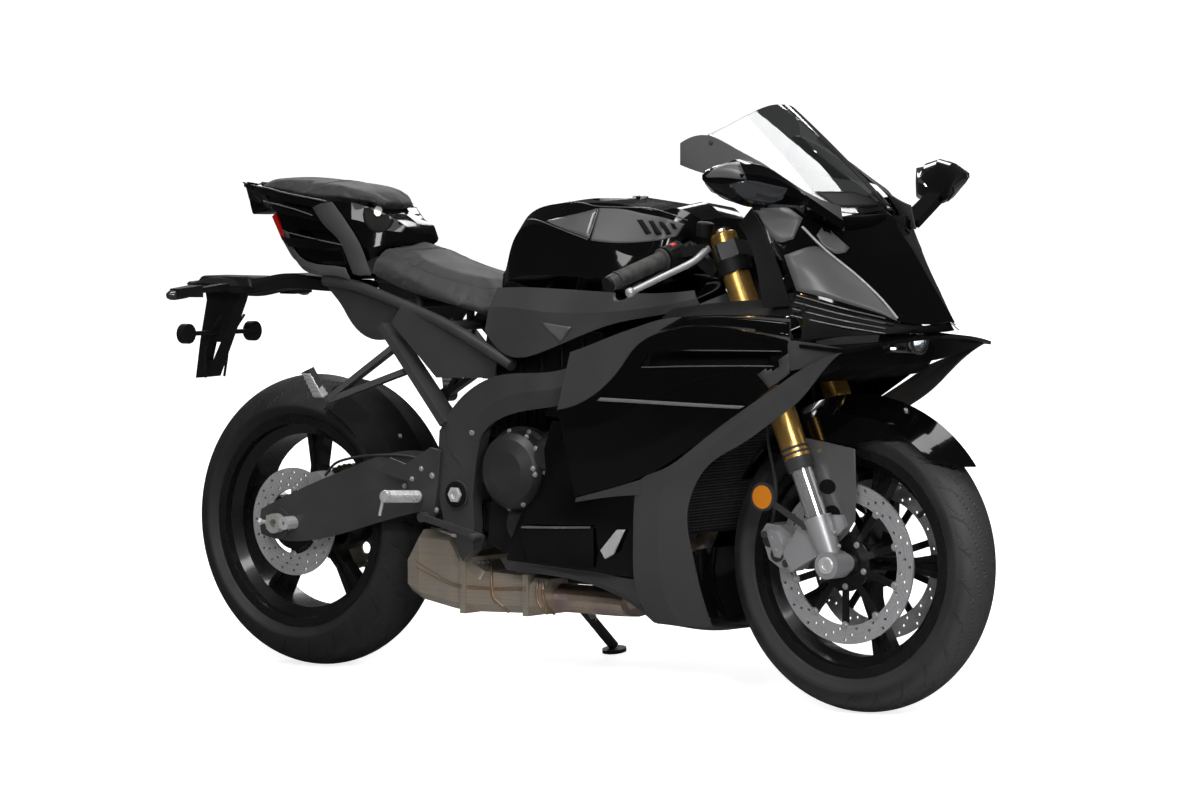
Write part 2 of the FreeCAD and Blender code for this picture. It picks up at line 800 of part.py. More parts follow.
def rear_shock():
    axis = (shock_top - shock_foot).normalize()
    side = V(0, 1, 0)
    first = 34.0
    last = (shock_top - shock_foot).Length - 40.0
    turns = 6
    pitch = (last - first) / turns
    profile = [(first, 0), (first, spring_radius)]
    for k in range(turns):
        t = first + k * pitch
        profile += [(t + pitch * 0.12, spring_radius), (t + pitch * 0.3, spring_radius - 2),
                    (t + pitch * 0.5, spring_radius - 10), (t + pitch * 0.7, spring_radius - 2),
                    (t + pitch * 0.88, spring_radius)]
    profile += [(last, spring_radius), (last, 0)]
    spring = polygon([shock_foot + axis * t + side * r for t, r in profile]).revolve(shock_foot, axis, 360)
    eye = cyl(shock_foot + V(0, -shock_ear + seat_gap, 0), shock_foot + V(0, shock_ear - seat_gap, 0), 16)
    pin = cyl(shock_foot + V(0, -58, 0), shock_foot + V(0, 58, 0), shock_pin_radius - seat_gap)
    return fused([rear_shock_body(0), spring, eye, pin])


# Engine, cooling and exhaust

@once
def engine_block():
    front = plate_xz([(690, 280), (860, 262), (905, 330), (900, 440), (815, 510), (690, 530)], -118, 118)
    rear = plate_xz([(560, 300), (600, 285), (690, 280), (690, 530), (640, 540), (585, 500)], -118, 92)
    upper = plate_xz([(812, 500), (870, 452), (985, 560), (1000, 640), (900, 700), (760, 640), (735, 572),
                      (812, 562)], -146, 146)
    sump = plate_xz([(715, 282), (860, 270), (830, 222), (735, 222)], -70, 70)
    centre = pt(front_sprocket_x, 0, front_sprocket_z)
    outer = centre + V(0, chain_plane + 3, 0)
    shaft = cyl(centre + V(0, 91, 0), outer, 18)
    wheel = cyl(centre + V(0, chain_plane - 3, 0), outer, 35)
    return fused([front, rear, upper, sump, shaft, wheel])


def cover(centre, side, radius, depth, bulge):
    # A round engine cover with a stepped rim and a raised crown.
    steps = [(0, radius), (depth * 0.35, radius), (depth * 0.42, radius - 8), (depth * 0.8, radius - 12),
             (depth, radius - 24), (depth + bulge, radius * 0.45), (depth + bulge, 0), (0, 0)]
    points = [centre + V(0, side * y, r) for y, r in steps]
    return polygon(points).revolve(centre, V(0, 1, 0), 360)


def engine_covers():
    clutch = cover(pt(664, -118, 456), -1, 90, 62, 10)
    igniter = cover(pt(752, -118, 490), -1, 52, 52, 6)
    pump = cover(pt(664, -118, 345), -1, 44, 34, 4)
    right = fused([clutch, igniter, pump])
    generator = cover(pt(772, 118, 420), 1, 80, 46, 8)
    sprocket = plate_xz([(562, 330), (640, 322), (700, 350), (712, 410), (700, 460), (640, 470),
                         (562, 462)], 120, 138)
    foot = plate_xz([(692, 350), (712, 350), (712, 450), (692, 450)], 118, 124)
    return [right, fused([generator, sprocket, foot])]


@once
def radiator():
    a = pt(1052, 0, 345)
    b = pt(1118, 0, 640)
    core = bar(a, b, V(1, 0, 0), 320, 36)
    tanks = [bar(a + V(0, s * 170, 0), b + V(0, s * 170, 0), V(1, 0, 0), 34, 44) for s in (-1, 1)]
    neck = cyl(b + V(-20, -170, -20), b + V(-60, -170, 10), 15)
    hangers = []
    for s in (-1, 1):
        hangers.append(bar(b + V(0, s * 120, -4), pt(1066, s * 120, 716), V(0, 1, 0), 18, 8))
    return fused([core] + tanks + [neck] + hangers).cut(main_frame())


def exhaust_headers():
    pipes = []
    for y in (-92, 0, 92):
        route = rail((990, y, 572), (1016, y * 0.95, 490), (994, y * 0.8, 330), (950, y * 0.5 - 20, 230),
                     (880, y * 0.3 - 38, 188))
        pipes.append(pipe(route, 18))
    rings = []
    for x, w, h in ((895, 62, 28), (840, 50, 30), (780, 44, 30), (silencer_front + seat_gap, 44, 30)):
        ring = []
        for i in range(16):
            a = math.pi / 8 * i
            ring.append(pt(x, -40 + w * math.cos(a), 188 + h * math.sin(a)))
        rings.append(ring)
    collector = ring_loft(rings)
    return fused(pipes + [collector]).cut(engine_block())


def silencer():
    # A welded can under the engine that steps up behind the sump.
    stations = ((silencer_front, 158, 230, -20, -112), (645, 157, 234, 52, -114), (540, 154, 238, 84, -118),
                (492, 154, 266, 96, -122), (462, 158, 316, 98, -124), (378, 172, 318, 96, -122),
                (336, 186, 268, 84, -108))
    rings = []
    for x, low, high, left, right in stations:
        c = 16
        rings.append([pt(x, right + c, low), pt(x, left - c, low), pt(x, left, low + c),
                      pt(x, left, high - c),
                      pt(x, left - c, high), pt(x, right + c, high), pt(x, right, high - c),
                      pt(x, right, low + c)])
    can = ring_loft(rings, ruled=True)
    bands = []
    for x, low, high, left, right in ((660, 153, 239, 50, -119), (500, 150, 266, 98, -127)):
        bands.append(box_between(pt(x - 7, left, low), pt(x + 7, right, high)))
    return fused([can] + bands)


# Bodywork

@once
def fuel_tank():
    stations = (
        (588, [(0, 880), (74, 876), (100, 858), (104, 832), (80, 800), (0, 790)]),
        (611, [(0, 934), (82, 930), (108, 902), (114, 842), (84, 796), (0, 785)]),
        (640, [(0, 980), (88, 974), (116, 945), (124, 852), (92, 792), (0, 780)]),
        (700, [(0, 1008), (94, 1000), (128, 962), (140, 858), (110, 788), (0, 770)]),
        (800, [(0, 1016), (104, 1006), (146, 950), (168, 858), (128, 800), (0, 770)]),
        (900, [(0, 1015), (108, 1004), (153, 920), (184, 856), (150, 820), (0, 785)]),
        (1000, [(0, 1003), (102, 992), (142, 916), (172, 862), (140, 836), (0, 810)]),
        (1078, [(0, 978), (72, 972), (85, 940), (94, 896), (76, 868), (0, 855)]),
    )
    body = loft_of(stations).cut(rider_seat(seat_gap))
    base = pt(cap_x, 0, cap_seat)
    body = body.cut(cyl(base - V(0, 0, 0.5), base + V(0, 0, 60), cap_radius + 14))
    for s in (-1, 1):
        body = body.cut(bar_sweep(s))
    hinge = cap_hinge()
    posts = []
    for s in (-1, 1):
        posts.append(box_between(base + V(cap_radius + 2, s * 12, -1), hinge + V(4, s * 16, 2)))
    return fused([largest(body)] + posts)


@once
def tank_side_covers():
    top = rail((590, -122, 829), (680, -150, 833), (760, -172, 833), (815, -182, 832), (960, -192, 828),
               (1080, -192, 830), (1140, -186, 836))
    mid = rail((582, -140, 790), (690, -176, 790), (770, -196, 786), (830, -200, 785), (950, -204, 790),
               (1080, -200, 806), (1150, -192, 820))
    low = rail((575, -145, 742), (674, -172, 690), (770, -196, 706), (830, -202, 726), (950, -204, 765),
               (1090, -198, 790), (1158, -190, 806))
    panel = skin([top, mid, low], panel_wall, pt(850, 0, 780)).cut(subframe_bars(seat_gap))
    panel = largest(panel.cut(bar_sweep(-1)))
    # Two posts behind each cover rest on the tank's flank.
    flank = fuel_tank().copy()
    flank.translate(V(0, -seat_gap, 0))
    posts = []
    for x, z, reach in ((700, 808, 188), (900, 815, 206)):
        posts.append(largest(cyl(pt(x, -90, z), pt(x, -reach, z), 9).cut(flank).cut(panel)))
    return both(fused([panel] + posts))


def grown(half, extra):
    # A half section with its rim moved out by a clearance.
    middle = sum(z for y, z in half) / len(half)
    moved = []
    for y, z in half:
        moved.append((y + extra if y > 0.01 else y, z + extra if z > middle else z - extra))
    return moved


@once
def rider_seat(extra=0):
    stations = (
        (592, [(0, 840), (74, 834), (108, 806), (118, 776), (104, 762), (0, 760)]),
        (520, [(0, 846), (92, 838), (128, 812), (134, 784), (116, 776), (0, 770)]),
        (443, [(0, 862), (102, 852), (134, 826), (136, 802), (120, 794), (0, 785)]),
        (360, [(0, 886), (104, 874), (130, 848), (132, 822), (116, 812), (0, 802)]),
        (300, [(0, 912), (96, 896), (122, 866), (126, 838), (108, 828), (0, 818)]),
        (232, [(0, 915), (70, 905), (100, 880), (106, 852), (90, 842), (0, 836)]),
    )
    return loft_of([(x, grown(half, extra)) for x, half in stations])


@once
def passenger_seat(extra=0):
    stations = (
        (232, [(0, 1004), (42, 1000), (54, 990), (48, 982), (0, 980)]),
        (206, [(0, 1018), (60, 1012), (78, 1001), (72, 992), (0, 988)]),
        (160, [(0, 1032), (72, 1026), (98, 1012), (92, 1002), (0, 997)]),
        (90, [(0, 1042), (76, 1035), (104, 1018), (98, 1006), (0, 1000)]),
        (-20, [(0, 1050), (70, 1044), (94, 1030), (88, 1018), (0, 1012)]),
        (-113, [(0, 1046), (52, 1043), (68, 1037), (62, 1029), (0, 1023)]),
        (-155, [(0, 1042), (32, 1040), (42, 1037), (38, 1033), (0, 1031)]),
    )
    return loft_of([(x, grown(half, extra)) for x, half in stations])


def tail_cowl():
    stations = (
        (296, [(0, 936), (24, 934), (38, 926), (40, 918), (26, 912), (0, 911)]),
        (262, [(0, 966), (46, 963), (68, 942), (78, 918), (62, 904), (0, 902)]),
        (228, [(0, 984), (60, 981), (90, 954), (98, 908), (86, 886), (0, 880)]),
        (180, [(0, 996), (94, 1001), (112, 968), (116, 908), (104, 862), (0, 850)]),
        (100, [(0, 1000), (104, 1006), (122, 962), (120, 900), (98, 856), (0, 848)]),
        (0, [(0, 1008), (94, 1018), (110, 975), (98, 905), (60, 868), (0, 862)]),
        (-35, [(0, 1012), (86, 1026), (100, 982), (90, 930), (55, 888), (0, 880)]),
        (-60, [(0, 1016), (78, 1032), (90, 994), (80, 955), (50, 930), (0, 920)]),
        (-112, [(0, 1022), (64, 1040), (72, 1024), (64, 1004), (42, 990), (0, 984)]),
        (-162, [(0, 1030), (50, 1044), (57, 1038), (50, 1026), (30, 1018), (0, 1014)]),
    )
    body = loft_of(stations)
    # The side wings stand clear of the middle, with a gap between them that runs out at the rear.
    gap = plate_xz([(-180, 1012), (-66, 984), (60, 968), (134, 961), (152, 923), (-18, 926), (-60, 930),
                    (-180, 960)], 0, 100)
    scoop = plate_xz([(-60, 905), (-7, 907), (161, 900), (166, 878), (5, 872), (-60, 872)], 0, 60)
    for s in (-1, 1):
        slot = gap.copy()
        slot.translate(V(0, 46 if s > 0 else -146, 0))
        low = scoop.copy()
        low.translate(V(0, 86 if s > 0 else -146, 0))
        body = body.cut(slot.fuse(low))
    body = body.cut(passenger_seat(seat_gap)).cut(rider_seat(seat_gap)).cut(subframe_bars(seat_gap))
    return largest(body.cut(tail_light_body(seat_gap)))


def tail_light_body(extra):
    a = pt(-66, 0, 922)
    b = pt(-106, 0, 973)
    return bar(a, b, V(-0.77, 0, -0.64), 84 + 2 * extra, 12 + 2 * extra, 60 + 2 * extra, 12 + 2 * extra)


def tail_light():
    return tail_light_body(0)


def plate_holder():
    arm_top = tail_tie_height - tie_radius - seat_gap
    body = loft_of((
        (128, [(0, arm_top - 6), (40, arm_top - 6), (46, arm_top - 10), (42, arm_top - 18),
               (0, arm_top - 19)]),
        (subframe_end, [(0, arm_top), (42, arm_top), (48, arm_top - 5), (44, arm_top - 20),
                        (0, arm_top - 22)]),
        (-22, [(0, 846), (34, 846), (40, 840), (38, 815), (0, 811)]),
        (-90, [(0, 845), (34, 845), (40, 838), (36, 812), (0, 808)]),
        (-167, [(0, 834), (38, 832), (46, 820), (42, 802), (0, 795)]),
        (-246, [(0, 838), (50, 834), (62, 822), (56, 806), (0, 798)]),
        (-300, [(0, 834), (52, 830), (62, 822), (56, 808), (0, 802)]),
        (-349, [(0, 827), (36, 825), (44, 820), (38, 815), (0, 813)]),
    ))
    blade = plate_xz([(-322, 808), (-215, 808), (-223, 785), (-262, 700), (-302, 616), (tail_end, 611),
                      (-337, 695), (-317, 784)], -14, 14)
    window = plate_xz([(-312, 692), (-276, 692), (-300, 650), (-324, 650)], -20, 20)
    pieces = [body, blade.cut(window), bar(pt(-290, -104, 713), pt(-290, 104, 713), V(0, 0, 1), 22, 9)]
    for s in (-1, 1):
        lens = pt(-292, s * 108, 713)
        pieces.append(cyl(lens - V(9, 0, 0), lens + V(9, 0, 0), 22))
        stalk = bar(pt(-225, s * 46, 818), pt(-225, s * 156, 808), V(0, 0, 1), 22, 12, 18, 12)
        lamp = bar(pt(-225, s * 150, 808), pt(-225, s * 218, 806), V(0, 0, 1), 44, 26, 26, 18)
        pieces += [stalk, lamp]
    return fused(pieces)


def band_seam():
    # Where the matte upper band of the fairing meets the gloss panel under it.
    return rail((838, -240, 591), (899, -243, 607), (957, -246, 639), (1003, -248, 680), (1043, -248, 725),
                (1121, -246, 759), (1257, -242, 768), (1408, -236, 744))


def fairing_bands(extra=0):
    top = rail((870, -238, 708), (923, -242, 724), (988, -244, 746), (1051, -245, 765), (1106, -243, 780),
               (1195, -240, 786), (1299, -234, 788), (1398, -222, 786))
    panel = skin([top, band_seam()], panel_wall, pt(1100, 0, 600), extra=extra)
    return both(panel)


def gloss_foot():
    # The gloss panel's lower edge, which the matte lower fairing follows.
    return rail((864, -214, 415), (924, -217, 430), (1003, -221, 451), (1086, -225, 483), (1162, -229, 526),
                (1238, -232, 572), (1328, -234, 629), (1418, -234, 688))


@once
def side_fairings(extra=0):
    mid = rail((848, -236, 550), (909, -240, 557), (980, -243, 576), (1051, -245, 608), (1113, -245, 636),
               (1197, -243, 662), (1304, -240, 689), (1407, -235, 715))
    belly = rail((855, -226, 480), (919, -230, 489), (997, -233, 506), (1073, -235, 533), (1148, -236, 565),
                 (1228, -236, 608), (1317, -235, 656), (1411, -233, 703))
    panel = skin([lowered(band_seam(), seam), mid, belly, gloss_foot()], panel_wall, pt(1100, 0, 500),
                 extra=extra)
    vent = plate_xz([(1076, 716), (1389, 722), (1374, 693), (1052, 682)], -262, -214)
    return both(largest(panel.cut(vent)))


@once
def lower_fairings(extra=0):
    # The swept matte panel that runs from the wing's corner down to the belly, with its spike to the rear.
    edge = rail((1419, -235, 684), (1335, -234, 633), (1237, -231, 574), (1162, -228, 524),
                (1085, -224, 481),
                (1032, -220, 458), (1014, -214, 416), (1006, -208, 335), (995, -190, 252), (992, -160, 197),
                (1006, -135, 162))
    fold = rail((1480, -250, 708), (1405, -240, 652), (1318, -234, 596), (1240, -229, 548),
                (1168, -226, 500),
                (1106, -222, 460), (1076, -216, 410), (1068, -208, 335), (1062, -190, 252),
                (1062, -164, 200), (1072, -136, 160))
    nose = rail((1548, -254, 729), (1481, -240, 680), (1429, -232, 630), (1366, -226, 589),
                (1277, -220, 536),
                (1213, -215, 504), (1173, -210, 470), (1134, -200, 380), (1133, -184, 320),
                (1137, -160, 238), (1143, -128, 162))
    lift = lowered(edge[:6], lower_seam) + edge[6:]
    panel = skin([lift, fold, nose], panel_wall, pt(1000, 0, 500), extra=extra)
    spike_top = lowered(rail((866, -214, 415.5), (924, -217, 430), (1003, -221, 451), (1036, -221, 461)),
                        lower_seam)
    spike_low = rail((862, -212, 404), (927, -215, 415), (1000, -217, 424), (1030, -217, 426))
    spike = skin([spike_top, spike_low], panel_wall, pt(950, 0, 430), extra=extra)
    return both(largest(fused([panel, spike])))


def belly_side(extra=0):
    top = rail((619, -150, 274), (740, -155, 272), (860, -160, 261), (991.9, -188, 252))
    mid = rail((626, -150, 264), (754, -156, 257), (873, -160, 239), (988.9, -160, 197))
    low = rail((633, -148, 251), (775, -150, 243), (878, -150, 227), (1002.9, -134, 162))
    return skin([top, mid, low], panel_wall, pt(900, 0, 350), extra=extra)


def belly_pan():
    side = belly_side()
    stations = []
    for x, half, sag in ((1008, 134, 0), (1075, 135, 6), (1140, 128, 2)):
        stations.append((x, [(0, 156 - sag), (70, 157 - sag), (half, 164), (half - 2, 160.4),
                             (70, 153 - sag), (0, 152 - sag)]))
    keel = loft_of(stations)
    keel = keel.cut(mirrored(lower_fairings(seat_gap)[0])).cut(lower_fairings(seat_gap)[0])
    return both(side) + [largest(keel)]


@once
def nose_half(extra=0):
    brow = rail((1302, -218, 1004), (1375, -192, 1008), (1412, -172, 974), (1455, -115, 956), (1478, 0, 984))
    crest = rail((1352, -224, 932), (1400, -200, 938), (1445, -162, 914), (1495, -100, 905), (1530, 0, 925))
    cheek = rail((1378, -226, 900), (1428, -204, 882), (1482, -146, 851), (1540, -86, 838), (1582, 0, 850))
    chin = rail((1408, -222, 840), (1476, -178, 815), (1552, -104, 784), (1594, -58, 776), (1632, 0, 782))
    return skin([brow, crest, cheek, chin], panel_wall, pt(1250, 0, 850), extra=extra)


def upper_cowl():
    # Nose and cheeks, from the screen's foot to the lip over the intake.
    nose = fused([nose_half(), mirrored(nose_half())])
    for eye in headlamp_eyes(seat_gap):
        nose = nose.cut(eye)
    for s in (-1, 1):
        nose = nose.cut(mirror_stalk(s, seat_gap)).cut(garnish(s, seat_gap))
    return largest(nose)


def cheek_flanges():
    # The dark panels behind the cheeks, with the three gill slats under them.
    found = []
    front = rail((1306, -224, 1000), (1353, -228, 930), (1378, -230, 880), (1402, -226, 812))
    rear = rail((1270, -216, 968), (1302, -224, 930), (1326, -232, 880), (1343, -235, 806))
    flange = skin([rear, front], panel_wall, pt(1250, 0, 850))
    slats = []
    for k in range(3):
        drop = k * 12
        slats.append(bar(pt(1398 + 2 * k, -220, 826 - drop), pt(1556 - 3 * k, -98, 775 - drop * 0.55),
                         V(0, 0, 1), 16, 3))
    post = bar(pt(1402, -219, 836), pt(1404, -219, 796), V(1, 0, 0), 12, 12)
    nose_post = bar(pt(1548, -100, 780), pt(1544, -100, 756), V(1, 0, 0), 12, 12)
    body = fused([flange, post, nose_post] + slats)
    body = body.cut(nose_half(seat_gap)).cut(fairing_bands(seat_gap)[0])
    for piece in sorted(body.Solids, key=lambda q: -q.Volume)[:1]:
        found += both(piece)
    return found


def headlamp_eyes(extra):
    eyes = []
    for s in (-1, 1):
        a = pt(1512, s * 124, 806)
        b = pt(1566, s * 74, 786)
        eyes.append(bar(a, b, V(0, 0, 1), 12 + 2 * extra, 8 + 2 * extra))
    return eyes


def lamp_housing():
    return cyl(pt(lamp_rear, 0, lamp_height), pt(1556, 0, lamp_height), lamp_radius)


def headlamps():
    return headlamp_eyes(0) + [lamp_housing()]


@once
def windscreen():
    low = rail((1475, 0, 1000), (1455, -60, 990), (1400, -112, 1000), (1330, -150, 1033))
    mid = rail((1350, 0, 1108), (1335, -62, 1096), (1290, -122, 1085), (1238, -158, 1083))
    top = rail((1218, 0, 1204), (1212, -60, 1196), (1190, -112, 1172), (1152, -168, 1141))
    half = skin([low, mid, top], glass_wall, pt(1200, 0, 1000), smooth=True)
    screen = fused([half, mirrored(half)])
    return largest(screen.cut(garnish(-1, seat_gap)).cut(garnish(1, seat_gap)))


@once
def garnish(side, extra=0):
    top = rail((1107, -188, 1127), (1151, -165, 1143), (1221, -160, 1117), (1283, -155, 1088),
               (1365, -142, 1039), (1448, -125, 1004))
    low = rail((1110, -192, 1084), (1158, -190, 1070), (1249, -182, 1055), (1362, -172, 1032),
               (1406, -152, 988), (1460, -126, 956))
    panel = skin([top, low], panel_wall, pt(1200, 0, 1000), extra=extra)
    return panel if side < 0 else mirrored(panel)


def screen_garnish():
    return [largest(garnish(s).cut(mirror_stalk(s, seat_gap))) for s in (-1, 1)]


@once
def fairing_stay():
    # The bracket on the steering head that carries the dash, the nose, the lamp and the mirrors.
    head = fork_point((lower_yoke_at + upper_yoke_at) / 2, 0, -fork_offset)
    root = head + steer_forward * (head_radius - 2)
    bend = head + steer_forward * 150 + V(0, 0, 30)
    front = pt(1424, 0, 905)
    pieces = [bar(root, bend, V(0, 0, 1), 62, 24), bar(bend, front, V(0, 0, 1), 62, 22, 120, 14)]
    pieces.append(bar(bend - V(20, 0, 6), bend + V(20, 0, 6), V(0, 0, 1), 62, 24))
    pieces.append(bar(front - V(24, 0, 0), front + V(24, 0, 0), V(0, 0, 1), 236, 12))
    pieces.append(bar(front + V(14, 0, 0), pt(1486, 0, 752), V(0, 1, 0), 26, 12))
    pieces.append(cyl(pt(lamp_rear - 16, 0, lamp_height), pt(lamp_rear, 0, lamp_height), lamp_radius))
    for s in (-1, 1):
        pieces.append(bar(pt(1424, s * 112, 905), pt(1424, s * 124, 982), V(1, 0, 0), 12, 30))
        pieces.append(bar(pt(1420, s * 100, 905), pt(1420, s * 240, 878), V(0, 0, 1), 26, 10))
    solid = fused(pieces).cut(cyl(head - steer_up * 200, head + steer_up * 200, head_radius + seat_gap))
    solid = solid.cut(nose_half(seat_gap)).cut(mirrored(nose_half(seat_gap)))
    for s in (-1, 1):
        solid = solid.cut(garnish(s, seat_gap)).cut(mirror_stalk(s, seat_gap))
    return largest(solid.cut(windscreen()).cut(lamp_clearance()))


def cockpit_panel():
    # The dash and the shelf in front of it, carried on the stay.
    dash = bar(pt(1216, 0, 1012), pt(1262, 0, 960), V(0, 1, 0), 28, 168)
    shelf = bar(pt(1246, 0, 972), pt(1412, 0, 914), V(0, 1, 0), 9, 150)
    return largest(dash.fuse(shelf).cut(fairing_stay()).cut(windscreen()))


def mirror_stalk(side, extra):
    root = pt(1440, side * 128, 966)
    elbow = pt(1428, side * 240, 1018)
    return bar(root, elbow, V(0, 0, 1), 44 + 2 * extra, 16 + 2 * extra, 34 + 2 * extra, 20 + 2 * extra)


def mirror(side):
    rings = []
    stations = ((236, 1436, 1014, 20, 30), (250, 1428, 1020, 34, 48), (285, 1400, 1035, 66, 86),
                (330, 1375, 1048, 88, 104), (372, 1363, 1056, 72, 104), (mirror_tip, 1362, 1062, 28, 96))
    for y, x, z, h, d in stations:
        ring = []
        for i in range(10):
            a = math.pi / 5 * i + math.pi / 10
            ring.append(pt(x + d / 2 * math.cos(a), side * y, z + h / 2 * math.sin(a)))
        rings.append(ring)
    return mirror_stalk(side, 0).fuse(ring_loft(rings))


def mirrors():
    return [mirror(-1), mirror(1)]


def winglets():
    # The wing across the nose: a middle lip under the intake and a blade out to each lower fairing.
    found = []
    lead = rail((1606, 0, 752), (1598, -60, 751), (1582, -145, 745), (1553, -258, 731))
    trail = rail((1520, 0, 760), (1490, -90, 757), (1458, -170, 748), (1432, -240, 738))
    half = skin([lead, trail], wing_wall, pt(1500, -100, 500))
    wing = fused([half, mirrored(half)]).cut(lamp_clearance())
    for fairing in (lower_fairings(seat_gap)[0], mirrored(lower_fairings(seat_gap)[0])):
        wing = wing.cut(fairing)
    found.append(largest(wing))
    return found


def lamp_clearance():
    rear = lamp_rear - seat_gap
    return cyl(pt(rear, 0, lamp_height), pt(1560, 0, lamp_height), lamp_radius + seat_gap)


def fairing_brackets():
    # Posts from the frame, the radiator and the engine out to the panels' inner faces.
    found = []
    carriers = fused([main_frame(), radiator(), engine_block()])
    for x, y0, y1, z, r in ((985, 168, 262, 700, 8), (1092, 150, 262, 500, 8), (1072, 150, 240, 380, 7),
                            (900, 100, 262, 560, 8), (820, 50, 180, 250, 7)):
        post = cyl(pt(x, -y0, z), pt(x, -y1, z), r).cut(carriers)
        for panel in (side_fairings(seat_gap)[0], fairing_bands(seat_gap)[0], lower_fairings(seat_gap)[0],
                      belly_side(seat_gap)):
            post = post.cut(panel)
        inner = [s for s in post.Solids if s.Volume > 200]
        inner.sort(key=lambda q: -q.CenterOfMass.y)
        found += both(inner[0])
    return found


def footrests():
    found = []
    plate_y = plate_outside + seat_gap
    for s in (-1, 1):
        outline = [(470, 490), (440, 495), (370, 455), (395, 380), (430, 340), (450, 350), (462, 420)]
        hanger = plate_xz(outline, s * plate_y, s * (plate_y + 9))
        peg = cyl(pt(412, s * (plate_y + 6), 392), pt(405, s * 268, 398), 12)
        heel_outline = [(400, 450), (330, 470), (300, 440), (390, 420)]
        heel = plate_xz(heel_outline, s * (plate_y + 7), s * (plate_y + 3))
        lever = bar(pt(432, s * 173, 350), pt(604, s * 190, 318), V(0, 0, 1), 9, 14, 8, 12)
        boss = cyl(pt(430, s * 157, 350), pt(430, s * 179, 350), 10)
        toe = cyl(pt(600, s * 187, 318), pt(600, s * 224, 318), 8)
        found.append(fused([hanger, peg, heel, lever, boss, toe]))
    return found


def passenger_footrests():
    # A forked hanger below each stay, with its peg folded up beside the wheel.
    found = []
    for s in (-1, 1):
        root = pt(191, s * 205, 583)
        upper = bar(pt(330, s * 134, 704), root, V(0, 1, 0), 12, 22, 12, 18)
        lower = bar(pt(352, s * 134, 650), root, V(0, 1, 0), 12, 22, 12, 18)
        knuckle = cyl(root - V(0, 14, 0), root + V(0, 14, 0), 15)
        peg = bar(root + V(0, s * 6, 4), pt(166, s * 232, 652), V(1, 0, 0), 16, 26)
        solid = fused([upper, lower, knuckle, peg]).cut(subframe_stays(seat_gap))
        found.append(largest(solid))
    return found


def subframe_stays(extra):
    # The lower stays alone, which the passenger's hangers bolt to.
    found = []
    for s in (-1, 1):
        found.append(bar(pt(292, s * 122, 745), pt(478, s * 138, 545), V(0, 1, 0), 16 + 2 * extra,
                         46 + 2 * extra, 16 + 2 * extra, 54 + 2 * extra))
    return found


# Front end that turns with the handlebars

@once
def yokes():
    solids = []
    outline = ((-136, 0), (-118, -30), (0, -fork_offset - 32), (118, -30), (136, 0), (118, 32), (0, 6),
               (-118, 32))
    for at in (lower_yoke_at, upper_yoke_at):
        points = [fork_point(at - yoke_thickness / 2, side, ahead) for side, ahead in outline]
        body = polygon(points).extrude(steer_up * yoke_thickness)
        for s in (-1, 1):
            centre = fork_point(at - yoke_thickness, s * fork_half_spacing)
            body = body.cut(cyl(centre, centre + steer_up * yoke_thickness * 2, fork_outer_radius + 0.1))
        solids.append(body)
    a = fork_point(lower_yoke_at - 20, 0, -fork_offset)
    b = fork_point(upper_yoke_at + 24, 0, -fork_offset)
    solid = fused(solids + [cyl(a, b, stem_radius)])
    return solid.cut(cyl(a - steer_up * 5, a + steer_up * 60, 8.5))


def fork_outer_tubes():
    tubes = []
    for s in (-1, 1):
        y = s * fork_half_spacing
        a = fork_point(fork_gold_end, y)
        b = fork_point(fork_top, y)
        body = tube(a, b, fork_outer_radius, fork_inner_radius + 0.3)
        cap = cyl(fork_point(fork_top - 8, y), fork_point(fork_top + 6, y), fork_outer_radius - 5)
        tubes.append(body.fuse(cap))
    return tubes


def fork_inner_tubes():
    found = []
    for s in (-1, 1):
        y = s * fork_half_spacing
        found.append(cyl(fork_point(fork_foot_top - 30, y), fork_point(fork_gold_end + 200, y),
                         fork_inner_radius))
    return found


@once
def fork_feet():
    feet = []
    for s in (-1, 1):
        y = s * fork_half_spacing
        sleeve = cone(fork_point(18, y), fork_point(fork_foot_top, y), 22, 29)
        eye = cyl(front_axle + V(0, y - fork_eye_half, 0), front_axle + V(0, y + fork_eye_half, 0), 27)
        outline = [(20, -95), (60, -100), (100, -40), (96, 0), (30, 0)]
        lug = plate_in_fork(outline, y - lug_half, y + lug_half)
        fender_lug = plate_in_fork([(52, 20), (62, 46), (86, 46), (96, 20)], y - s * 26, y - s * 14)
        solid = fused([sleeve, eye, lug, fender_lug])
        solid = solid.cut(cyl(fork_point(fork_foot_top - 30, y), fork_point(fork_foot_top + 5, y),
                              fork_inner_radius + 0.1))
        axle = cyl(front_axle + V(0, -300, 0), front_axle + V(0, 300, 0), front_axle_radius + 0.05)
        feet.append(solid.cut(axle))
    return feet


def plate_in_fork(outline, y0, y1):
    # A flat plate whose outline is (distance up the fork, distance ahead of it).
    points = [fork_point(along, y0, ahead) for along, ahead in outline]
    return polygon(points).extrude(V(0, y1 - y0, 0))


def front_axle_set():
    a = front_axle + V(0, -fork_half_spacing - 28, 0)
    b = front_axle + V(0, fork_half_spacing + 28, 0)
    shaft = cyl(a, b, front_axle_radius)
    spacers = []
    for s in (-1, 1):
        inner = front_axle + V(0, s * (front_disc_offset - 1.7), 0)
        outer = front_axle + V(0, s * (fork_half_spacing - fork_eye_half - seat_gap), 0)
        spacers.append(cyl(inner, outer, 19))
    return fused([shaft] + spacers).cut(cyl(a - V(0, 1, 0), b + V(0, 1, 0), front_axle_bore))


